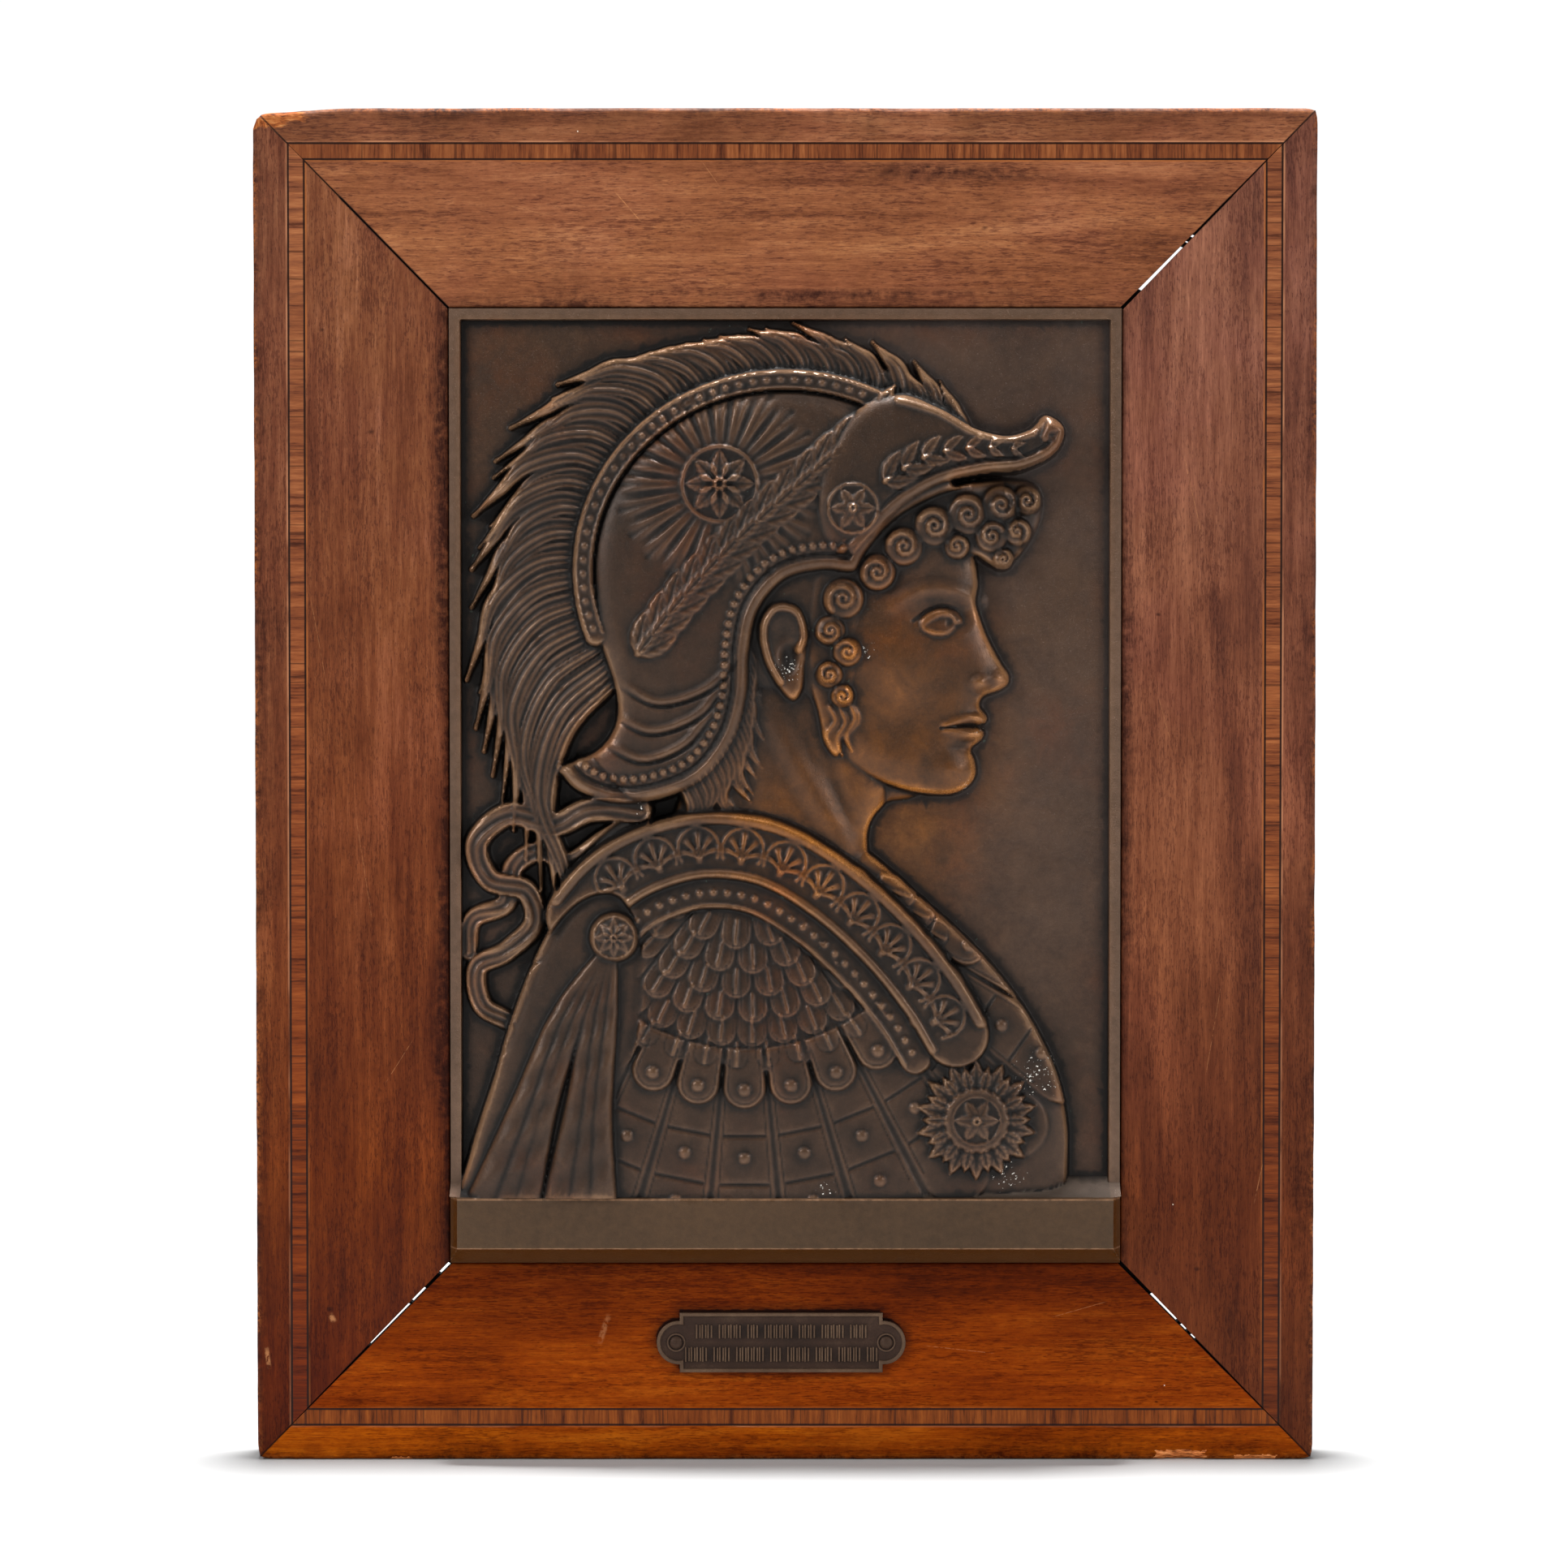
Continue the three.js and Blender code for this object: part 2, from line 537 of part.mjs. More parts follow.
function helmet(clay) {
  const top = arc(0, 171, 47, 44, 28, 180, 40);
  const back = spline([[-47, 171], [-46, 156], [-42, 143], [-41.5, 134], [-46, 127], [-55, 123]]);
  clay.mass([...HELMET_RIM, ...top, ...back.slice(1)], BOWL, 5, 2.4);
  for (const k of range(3)) {
    const plate = spline([[-45 + 1.5 * k, 128 + 7.5 * k], [-35 + 2 * k, 123.5 + 7 * k],
      [-24 + 3 * k, 127.5 + 7 * k], [-17 + 3.2 * k, 136 + 7 * k]]);
    clay.stroke(plate, 0.7, fade(-0.8), { section: bell });
    clay.stroke(offset(plate, 1.5), 1.6, fade(0.7), { section: bell });
  }
  clay.stroke(offset(HELMET_RIM, 1.7), 1.5, 1.1);
  clay.stroke(offset(HELMET_RIM, 4.2), 0.6, -0.7, { section: bell });
}

const FLUTES = 24;

function flutes(clay) {
  const at = [-16, 192];
  for (const i of range(FLUTES)) {
    const a = 360 * i / FLUTES;
    const path = between(10.5, 25, 8).map((r) => polar(at, r, a));
    clay.stroke(path, (t) => 1 + 1.7 * t, (t) => 1.1 * Math.sin(Math.PI * clamp(t * 0.9 + 0.1)));
  }
  rosette(clay, ...at, 8.2, 8, 1.3);
}

function wreath(clay) {
  const stem = spline([[24, 208], [12, 199], [-1, 188], [-14, 176], [-27, 162], [-38, 148]]);
  const over = raised(BOWL, 0.1);
  for (const [x, z, a] of walk(stem, 6.4)) {
    for (const side of [1, -1]) leaf(clay, [x, z], a + 180 + side * 36, 11, 2.5, 1.4, -0.18 * side, over);
    leaf(clay, [x, z], a + 180, 10, 2.2, 1.8, 0, raised(BOWL, 0.3));
  }
}

function visor(clay) {
  const outline = spline([[10, 178], [17, 175], [22, 180.5], [29, 187], [38, 192], [48, 194.5], [58, 195.6],
    [66, 199.5], [68.5, 205.5], [64, 209], [60, 205.5], [54, 204], [46, 206], [38, 210.5], [28, 214],
    [18, 210], [10, 198], [8, 188]], true);
  const crown = (x, z) => 1.4 * halfRound(clamp((z - 196 - 0.18 * (x - 30)) / 18, -1, 1));
  const top = (x, z) => 10 + 0.03 * (48 - x) + crown(x, z);
  clay.mass(outline, top, 3, 1.6);
  const low = spline([[17, 175.4], [22, 180.5], [29, 187], [38, 192], [48, 194.5], [58, 195.6], [66, 199.5],
    [68, 205], [64.5, 207.2], [62.6, 204]]);
  clay.stroke(offset(low, 1.3), 1.4, 1.1);
  const high = spline([[60, 205.6], [54, 204], [46, 206], [38, 210.5], [28, 213.6]]);
  clay.stroke(offset(high, 1.2), 1.1, 0.9);
  const stem = spline([[22, 191], [34, 198.5], [46, 200.8], [58, 200.4]]);
  for (const [i, [x, z, a]] of walk(stem, 5.6).entries()) {
    for (const side of [1, -1]) {
      leaf(clay, [x, z], a + 42 * side, 8.2 - 0.8 * i, 2 - 0.18 * i, 1.3, -0.25 * side);
    }
  }
  clay.dome(16.5, 186, 8.4, 8.4, 1.6, { section: halfRound, level: () => 11.2 });
  rosette(clay, 16.5, 186, 5.4, 6, 1.1);
}

/** The rim at the sides and top, the sloping shelf and the bevelled tablet below it. */
function border(clay) {
  const wide = BRONZE_W / 2;
  clay.around([[-wide, 0], [wide, BRONZE_H]], 0, (at, x, z) => {
    const fromSide = wide - Math.abs(x);
    const rim = RIM_H * clamp((RIM_W + RIM_DRAFT - Math.min(fromSide, BRONZE_H - z)) / RIM_DRAFT);
    const shelf = SHELF_H * clamp((SHELF_TOP - z) / (SHELF_TOP - TABLET_TOP - RIM_DRAFT));
    const bevel = Math.min(1, 0.35 + 0.65 * z / TABLET_LOW, 0.45 + 0.55 * fromSide / TABLET_END);
    clay.h[at] = z <= TABLET_TOP + TINY ? TABLET_H * bevel : Math.max(clay.h[at], rim, shelf);
  });
}

/** Grid lines at each named place, with evenly spaced ones between them. */
function gridLines(named) {
  return named.slice(1).reduce((lines, end) => {
    const start = lines.at(-1);
    const n = Math.max(1, Math.round((end - start) / STEP));
    return [...lines, ...range(n).map((i) => start + (end - start) * (i + 1) / n)];
  }, [named[0]]);
}

function relief() {
  const wide = BRONZE_W / 2;
  const foot = RIM_W + RIM_DRAFT;
  const half = [wide - foot, wide - RIM_W, wide - TABLET_END, wide];
  const xs = gridLines([...half.map((x) => -x).reverse(), ...half]);
  const zs = gridLines([0, TABLET_LOW, TABLET_TOP, TABLET_TOP + RIM_DRAFT, SHELF_TOP, BRONZE_H - foot,
    BRONZE_H - RIM_W, BRONZE_H]);
  const clay = new Clay(xs, zs);
  for (const form of [ribbons, plume, neck, face, cuirass]) form(clay);
  clay.only(BUST_LINE);
  straps(clay);
  scales(clay);
  clay.only(null);
  for (const form of [collar, cloak, roundel, ear, hair, helmet, flutes, wreath, visor]) form(clay);
  clay.soften();
  border(clay);
  return clay;
}

// ---- From heights to a closed solid ----

/** Triangles over the grid. From two big ones, the worst point of the triangle that misses most over its
 *  area is added until count points are in, and the triangulation stays Delaunay. Then edges are swapped
 *  along ridges and valleys. Positions are counted in whole units of 0.01 mm, so that each test is exact. */
function fitTriangles(clay, count) {
  const columns = clay.xs.length;
  const whole = (v) => Math.round(v * 100);
  const px = range(clay.h.length).map((p) => whole(clay.xs[p % columns]));
  const pz = range(clay.h.length).map((p) => whole(clay.zs[Math.floor(p / columns)]));
  const turn = (a, b, c) => (px[b] - px[a]) * (pz[c] - pz[a]) - (pz[b] - pz[a]) * (px[c] - px[a]);
  const edgeKey = (a, b) => a * clay.h.length + b;
  const byEdge = new Map();
  const triangles = new Set();

  function insideCircle({ corners }, p) {
    const [[ax, az], [bx, bz], [cx, cz]] = corners.map((c) => [px[c] - px[p], pz[c] - pz[p]]);
    const [a2, b2, c2] = [ax * ax + az * az, bx * bx + bz * bz, cx * cx + cz * cz];
    return ax * (bz * c2 - b2 * cz) - az * (bx * c2 - b2 * cx) + a2 * (bx * cz - bz * cx) > 0;
  }

  /** A triangle with its summed misfit, and the grid point at which it misses most. */
  function fit(a, b, c) {
    const triangle = { corners: [a, b, c], misfit: 0, worst: 0, at: -1 };
    const area = turn(a, b, c);
    const cols = [a, b, c].map((p) => p % columns);
    const rows = [a, b, c].map((p) => Math.floor(p / columns));
    for (let k = Math.min(...rows); k <= Math.max(...rows); k += 1) {
      for (let i = Math.min(...cols); i <= Math.max(...cols); i += 1) {
        const p = k * columns + i;
        const [wa, wb, wc] = [turn(b, c, p), turn(c, a, p), turn(a, b, p)];
        if (wa < 0 || wb < 0 || wc < 0) continue;
        const miss = Math.abs(clay.h[p] - (wa * clay.h[a] + wb * clay.h[b] + wc * clay.h[c]) / area);
        triangle.misfit += miss;
        if (miss > triangle.worst + TINY) [triangle.worst, triangle.at] = [miss, p];
      }
    }
    return triangle;
  }

  function add(triangle) {
    const [a, b, c] = triangle.corners;
    triangles.add(triangle);
    for (const [from, to] of [[a, b], [b, c], [c, a]]) byEdge.set(edgeKey(from, to), triangle);
  }

  function insert(p, start) {
    const hollow = new Set([start]);
    const rim = [];
    for (const triangle of hollow) {
      const [a, b, c] = triangle.corners;
      for (const [from, to] of [[a, b], [b, c], [c, a]]) {
        const next = byEdge.get(edgeKey(to, from));
        if (next && !hollow.has(next) && insideCircle(next, p)) hollow.add(next);
        rim.push([from, to, next]);
      }
    }
    for (const triangle of hollow) triangles.delete(triangle);
    for (const [from, to] of rim) byEdge.delete(edgeKey(from, to));
    for (const [from, to, next] of rim) {
      if (!(next && hollow.has(next)) && turn(from, to, p) > 0) add(fit(from, to, p));
    }
  }

  /** Whether the triangle over the diagonal from a to c would be less than 0.1 mm high. */
  const slim = (a, b, c) => turn(a, b, c) < 10 * Math.hypot(px[c] - px[a], pz[c] - pz[a]);

  /** Turns the shared edge of two triangles where the other diagonal fits better. */
  function swap(triangle) {
    for (const from of triangle.corners) {
      const [a, b, c] = triangle.corners;
      const to = { [a]: b, [b]: c, [c]: a }[from];
      const tip = a + b + c - from - to;
      const next = byEdge.get(edgeKey(to, from));
      if (!next) continue;
      const far = next.corners.reduce((sum, p) => sum + p, 0) - from - to;
      if (slim(tip, from, far) || slim(far, to, tip)) continue;
      const pair = [fit(tip, from, far), fit(far, to, tip)];
      if (pair[0].misfit + pair[1].misfit >= triangle.misfit + next.misfit - TINY) continue;
      for (const old of [triangle, next]) triangles.delete(old);
      for (const key of [edgeKey(from, to), edgeKey(to, from)]) byEdge.delete(key);
      for (const fresh of pair) add(fresh);
      return;
    }
  }

  const last = clay.h.length - 1;
  add(fit(0, columns - 1, last));
  add(fit(0, last, last - columns + 1));
  for (let n = 4; n < count; n += 1) {
    let target = null;
    for (const triangle of triangles) {
      if (triangle.at >= 0 && (!target || triangle.misfit > target.misfit)) target = triangle;
    }
    insert(target.at, target);
  }
  for (let pass = 0; pass < SWAP_PASSES; pass += 1) {
    for (const triangle of [...triangles]) {
      if (triangles.has(triangle)) swap(triangle);
    }
  }
  return { faces: [...triangles].map((t) => t.corners), open: (a, b) => !byEdge.has(edgeKey(b, a)) };
}

/** A closed mesh from positions and triangles, turned so that its faces point out. */
function solid(positions, triangles) {
  const geometry = new THREE.BufferGeometry();
  geometry.setAttribute("position", new THREE.Float32BufferAttribute(positions.flat(), 3));
  const volume = triangles.reduce((sum, corners) => {
    const [a, b, c] = corners.map((i) => new THREE.Vector3(...positions[i]));
    return sum + a.dot(b.cross(c));
  }, 0);
  geometry.setIndex(triangles.flatMap(([a, b, c]) => (volume > 0 ? [a, b, c] : [a, c, b])));
  geometry.computeVertexNormals();
  return geometry;
}

function reliefSolid() {
  const clay = relief();
  const { faces, open } = fitTriangles(clay, RELIEF_POINTS);
  const columns = clay.xs.length;
  const positions = [[0, 0, BRONZE_H / 2]]; // the middle of the back
  const placed = new Map();
  const place = (p, y, face) => {
    const key = `${face} ${p}`;
    if (!placed.has(key)) {
      placed.set(key, positions.length);
      positions.push([clay.xs[p % columns], y, clay.zs[Math.floor(p / columns)]]);
    }
    return placed.get(key);
  };
  const front = (p) => place(p, -GROUND_T - clay.h[p], "front");
  const back = (p) => place(p, 0, "back");
  const triangles = faces.map((corners) => corners.map(front));
  for (const [a, b, c] of faces) {
    for (const [from, to] of [[a, b], [b, c], [c, a]].filter((edge) => open(...edge))) {
      triangles.push([front(to), front(from), back(from)], [front(to), back(from), back(to)]);
      triangles.push([0, back(to), back(from)]);
    }
  }
  return solid(positions, triangles);
}

// ---- Joining and cutting ----

const wasm = await Module();
wasm.setup();

function toManifold(geometry) {
  const bare = geometry.clone();
  for (const name of ["normal", "uv"]) bare.deleteAttribute(name);
  const merged = mergeVertices(bare, TINY);
  return new wasm.Manifold(new wasm.Mesh({
    numProp: 3,
    vertProperties: new Float32Array(merged.attributes.position.array),
    triVerts: new Uint32Array(merged.index.array),
  }));
}

function toGeometry(manifold) {
  const mesh = manifold.getMesh();
  const geometry = new THREE.BufferGeometry();
  geometry.setAttribute("position", new THREE.BufferAttribute(mesh.vertProperties, 3));
  geometry.setIndex(new THREE.BufferAttribute(mesh.triVerts, 1));
  geometry.computeVertexNormals();
  return geometry;
}

// ---- Frame ----

const TOP = MOUNT_DOWN;
const BOTTOM = TOP - FRAME_H;
const SIDE = FRAME_W / 2;

/** A bar along a board. Its section is in u, inwards from the outer edge, and d, out from the back. */
function bar(section, { place, ends }) {
  const n = section.length;
  const positions = ends.flatMap((end) => section.map(([u, d]) => place(end(u), u, d)));
  const caps = THREE.ShapeUtils.triangulateShape(section.map(([u, d]) => new THREE.Vector2(u, d)), []);
  const clockwise = THREE.ShapeUtils.isClockWise(section.map(([u, d]) => new THREE.Vector2(u, d)));
  const triangles = caps.flatMap(([a, b, c]) => [[a, b, c], [n + a, n + c, n + b]]);
  for (const i of range(n)) {
    const [from, to] = clockwise ? [(i + 1) % n, i] : [i, (i + 1) % n];
    triangles.push([to, from, n + from], [to, n + from, n + to]);
  }
  return solid(positions, triangles);
}

const boardSection = (width) => [
  [0, 0], [0, BOARD_T - ARRIS], [ARRIS, BOARD_T], [BAND_IN, BOARD_T], [BAND_IN, BOARD_T - BAND_T],
  [BAND_IN + BAND_W, BOARD_T - BAND_T], [BAND_IN + BAND_W, BOARD_T], [width, BOARD_T], [width, LIP_T],
  [width + LIP_W, LIP_T], [width + LIP_W, 0],
];
const BAND_SECTION = [
  [BAND_IN, BOARD_T - BAND_T], [BAND_IN, BOARD_T],
  [BAND_IN + BAND_W, BOARD_T], [BAND_IN + BAND_W, BOARD_T - BAND_T],
];

/** The mitred ends of a board at start and end, opening by their slack towards the inner corners. */
function mitres(start, end, width, across, slackStart, slackEnd) {
  return [
    (u) => start + u * (across + slackStart) / width,
    (u) => end - u * (across + slackEnd) / width,
  ];
}

const SLACK = MITRE_SLACK;
const BOARDS = {
  top: {
    width: END_BOARD,
    place: (s, u, d) => [s, -d, TOP - u],
    ends: mitres(-SIDE, SIDE, END_BOARD, SIDE_BOARD, SLACK.topLeft, SLACK.topRight),
  },
  bottom: {
    width: END_BOARD,
    place: (s, u, d) => [s, -d, BOTTOM + u],
    ends: mitres(-SIDE, SIDE, END_BOARD, SIDE_BOARD, SLACK.bottomLeft, SLACK.bottomRight),
  },
  left: {
    width: SIDE_BOARD,
    place: (s, u, d) => [-SIDE + u, -d, s],
    ends: mitres(BOTTOM, TOP, SIDE_BOARD, END_BOARD, SLACK.bottomLeft, SLACK.topLeft),
  },
  right: {
    width: SIDE_BOARD,
    place: (s, u, d) => [SIDE - u, -d, s],
    ends: mitres(BOTTOM, TOP, SIDE_BOARD, END_BOARD, SLACK.bottomRight, SLACK.topRight),
  },
};

// ---- Nameplate, in its own plane: x along it, y up, z out from the board ----

function block(wide, high, from, to) {
  return toManifold(new THREE.BoxGeometry(wide, high, to - from).translate(0, 0, (from + to) / 2));
}

function disc(r, sides, from, to, x) {
  const geometry = new THREE.CylinderGeometry(r, r, to - from, sides);
  return toManifold(geometry.rotateX(Math.PI / 2).translate(x, 0, (from + to) / 2));
}

/** The plate's outline, a rectangle with round ends, drawn in by inset, between two depths. */
function cartouche(inset, from, to) {
  return [-LOBE_AT, LOBE_AT].reduce(
    (shape, x) => shape.add(disc(LOBE_R - inset, LOBE_SIDES, from, to, x)),
    block(PLATE_L - 2 * inset, PLATE_H - 2 * inset, from, to),
  );
}

const pinHoles = (depth) => [-PIN_AT, PIN_AT].map((x) => disc(PIN_HOLE_R, PIN_SIDES, -depth, PLATE_T + 1, x));

function nameplate() {
  const raised = cartouche(0, PLATE_T - SINK, PLATE_T + BORDER_H);
  const plate = cartouche(0, 0, PLATE_T).add(raised.subtract(cartouche(BORDER_W, 0, PLATE_T + 1)));
  return toGeometry(pinHoles(1).reduce((rest, hole) => rest.subtract(hole), plate));
}

/** A round-headed pin whose shank goes through the plate into the board. */
function pin() {
  const dome = between(0, 90, 5).map((a) => [
    PIN_HEAD_R * Math.cos(degrees(a)), PLATE_T + PIN_HEAD_H * Math.sin(degrees(a)),
  ]);
  dome.at(-1)[0] = 0;
  const profile = [[0, -PIN_L], [PIN_R, 1 - PIN_L], [PIN_R, PLATE_T], ...dome];
  const geometry = new THREE.LatheGeometry(profile.map(([r, z]) => new THREE.Vector2(r, z)), PIN_SIDES);
  return toGeometry(toManifold(geometry.rotateX(Math.PI / 2)));
}

// ---- The plaque ----

const MATERIALS = {
  mahogany: { color: 0x8a4522, roughness: 0.5, metalness: 0 },
  inlay: { color: 0x9c5a2c, roughness: 0.5, metalness: 0 },
  bronze: { color: 0x4a3a2c, roughness: 0.45, metalness: 0.85 },
  plate: { color: 0x4a382c, roughness: 0.5, metalness: 0.8 },
};

const plaque = new THREE.Group();

function piece(name, geometry, material, [x, y, z] = [0, 0, 0]) {
  const mesh = new THREE.Mesh(geometry, new THREE.MeshStandardMaterial(MATERIALS[material]));
  mesh.name = name;
  mesh.position.set(x, y, z);
  return mesh;
}

// What lies on the bottom board is turned to face -Y.
const onBoard = new THREE.Group();
onBoard.position.set(PLATE_AT.x, -BOARD_T, BOTTOM + PLATE_AT.up);
onBoard.rotation.x = Math.PI / 2;

for (const [name, board] of Object.entries(BOARDS)) {
  let geometry = bar(boardSection(board.width), board);
  if (name === "bottom") {
    onBoard.updateMatrix();
    const holes = pinHoles(PIN_L + FIT).map((hole) => toGeometry(hole).applyMatrix4(onBoard.matrix));
    const whole = toManifold(geometry);
    geometry = toGeometry(holes.reduce((rest, hole) => rest.subtract(toManifold(hole)), whole));
  }
  plaque.add(piece(`frame_board_${name}`, geometry, "mahogany"));
  plaque.add(piece(`inlay_band_${name}`, bar(BAND_SECTION, board), "inlay"));
}

plaque.add(piece("relief_plaque", reliefSolid(), "bronze", [0, -LIP_T, BOTTOM + END_BOARD + FIT]));

onBoard.add(piece("nameplate", nameplate(), "plate"));
onBoard.add(piece("nameplate_pin_left", pin(), "plate", [-PIN_AT, 0, 0]));
onBoard.add(piece("nameplate_pin_right", pin(), "plate", [PIN_AT, 0, 0]));
plaque.add(onBoard);

export default plaque;
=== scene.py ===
"""The relief plaque's looks: a chased bronze relief in worn, inlaid mahogany, and a nameplate."""
import math
import bmesh
import bpy
import numpy as np
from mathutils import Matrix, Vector

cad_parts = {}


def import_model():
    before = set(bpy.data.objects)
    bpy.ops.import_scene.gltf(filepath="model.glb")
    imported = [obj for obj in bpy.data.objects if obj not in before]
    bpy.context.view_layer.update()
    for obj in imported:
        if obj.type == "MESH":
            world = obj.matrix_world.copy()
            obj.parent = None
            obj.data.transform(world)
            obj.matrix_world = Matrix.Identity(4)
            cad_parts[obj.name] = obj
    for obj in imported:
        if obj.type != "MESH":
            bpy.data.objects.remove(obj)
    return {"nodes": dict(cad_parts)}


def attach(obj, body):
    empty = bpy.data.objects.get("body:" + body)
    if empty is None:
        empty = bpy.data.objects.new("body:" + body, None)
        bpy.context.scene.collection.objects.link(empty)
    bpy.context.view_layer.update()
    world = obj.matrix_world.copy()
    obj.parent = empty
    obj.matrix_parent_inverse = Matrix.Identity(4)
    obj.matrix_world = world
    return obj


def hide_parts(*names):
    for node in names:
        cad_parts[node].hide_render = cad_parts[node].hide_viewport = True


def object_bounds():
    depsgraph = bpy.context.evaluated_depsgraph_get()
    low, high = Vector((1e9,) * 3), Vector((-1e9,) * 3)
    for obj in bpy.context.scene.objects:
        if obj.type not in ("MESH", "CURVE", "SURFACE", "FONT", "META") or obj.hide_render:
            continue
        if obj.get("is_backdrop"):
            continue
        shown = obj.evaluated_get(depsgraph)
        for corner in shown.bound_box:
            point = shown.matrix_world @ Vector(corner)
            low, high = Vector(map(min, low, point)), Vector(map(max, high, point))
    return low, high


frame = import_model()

CAD_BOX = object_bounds()

# Sizes in millimetres, as in the solids
FRAME_W, FRAME_H = 262, 334
SIDE_BOARD, END_BOARD, BOARD_T = 48, 49, 15
LIP_W, LIP_T = 6, 5
BAND_IN, BAND_W, BAND_T = 8.5, 4.4, 1
TOP = END_BOARD / 2
BOTTOM = TOP - FRAME_H
SIDE = FRAME_W / 2
# Width of each open mitre at its inner end
SLACK = {"top_left": 0.3, "top_right": 0.6, "bottom_right": 0.7, "bottom_left": 0.65}

FIT = 0.3
BRONZE_W = FRAME_W - 2 * SIDE_BOARD - 2 * FIT
BRONZE_H = FRAME_H - 2 * END_BOARD - 2 * FIT
FOOT = BOTTOM + END_BOARD + FIT  # height of the bronze's lower edge
GROUND_T = 8.5
RIM_W, RIM_H, RIM_DRAFT = 2.6, 2.5, 0.4
TABLET_H, TABLET_LOW, TABLET_TOP, TABLET_END = 9, 4.2, 16.5, 2
SHELF_TOP, SHELF_H = 21.3, 7.2
GRID = 0.4  # spacing of the relief's heights
EDGE = 0.7  # width over which a form's edge comes down
RELIEF_TRIANGLES = 190000

PLATE_L, PLATE_H, PLATE_T = 50.2, 14.8, 1.1
LOBE_AT, LOBE_R = 25.4, 5.4
BORDER_W, BORDER_H = 0.9, 0.5
PLATE_AT = (-1, 29.4)
PIN_AT, PIN_HEAD_R, PIN_HEAD_H = 26, 1.6, 0.8


# ---- Curves in the plane of the bronze: arrays of x, z ----

def spline(points, closed=False, per=8):
    p = np.array(points, float)
    if closed:
        p = np.vstack([p[-1:], p, p[:2]])
    else:
        p = np.vstack([2 * p[0] - p[1], p, 2 * p[-1] - p[-2]])
    out = []
    for i in range(len(p) - 3):
        a, b, c, d = p[i:i + 4]
        for t in np.arange(per) / per:
            out.append(0.5 * (2 * b + (c - a) * t + (2 * a - 5 * b + 4 * c - d) * t * t
                              + (3 * b - a - 3 * c + d) * t ** 3))
    if not closed:
        out.append(p[-2])
    return np.array(out)


def polar(at, r, a):
    return np.array([at[0] + r * math.cos(math.radians(a)), at[1] + r * math.sin(math.radians(a))])


def arc(cx, cz, rx, rz, a0, a1, n=24):
    a = np.radians(np.linspace(a0, a1, n))
    return np.stack([cx + rx * np.cos(a), cz + rz * np.sin(a)], 1)


def spiral(cx, cz, r0, r1, a0, turns):
    s = np.linspace(0, 1, max(12, int(abs(turns) * 24)))
    a = math.radians(a0) + 2 * math.pi * turns * s
    r = r0 * (r1 / r0) ** s
    return np.stack([cx + r * np.cos(a), cz + r * np.sin(a)], 1)


def headings(path):
    ends = np.vstack([path[:1], path, path[-1:]])
    step = ends[2:] - ends[:-2]
    return np.arctan2(step[:, 1], step[:, 0])


def offset(path, by):
    a = headings(path)
    return path + by * np.stack([-np.sin(a), np.cos(a)], 1)


def walk(path, step):
    """Evenly spaced places along a path: x, z and the heading in degrees."""
    run = np.concatenate([[0], np.cumsum(np.hypot(*np.diff(path, axis=0).T))])
    n = max(1, round(run[-1] / step))
    s = (np.arange(n) + 0.5) * run[-1] / n
    turn = np.degrees(np.unwrap(headings(path)))
    return list(zip(np.interp(s, run, path[:, 0]), np.interp(s, run, path[:, 1]), np.interp(s, run, turn)))


def unit(v):
    return np.clip(v, 0, 1)


def ease(t):
    t = unit(t)
    return t * t * (3 - 2 * t)


def half_round(q):
    return np.sqrt(unit(1 - q * q))


def bell(q):
    return np.where(q < 1, 0.5 + 0.5 * np.cos(np.pi * unit(q)), 0)


def flat(q):
    return np.where(q < 1, 1.0, 0.0)


def call(value, *args):
    return value(*args) if callable(value) else value


# ---- Clay: heights above the bronze's ground, on a grid of x and z lines ----

def blurred(field, sigma):
    k = max(1, int(3 * sigma / GRID))
    w = np.exp(-0.5 * (np.arange(-k, k + 1) * GRID / sigma) ** 2)
    w /= w.sum()
    for axis in (0, 1):
        pad = [(0, 0), (0, 0)]
        pad[axis] = (k, k)
        f = np.pad(field, pad, mode="edge")
        n = field.shape[axis]
        field = sum(w[j] * np.take(f, range(j, j + n), axis) for j in range(2 * k + 1))
    return field


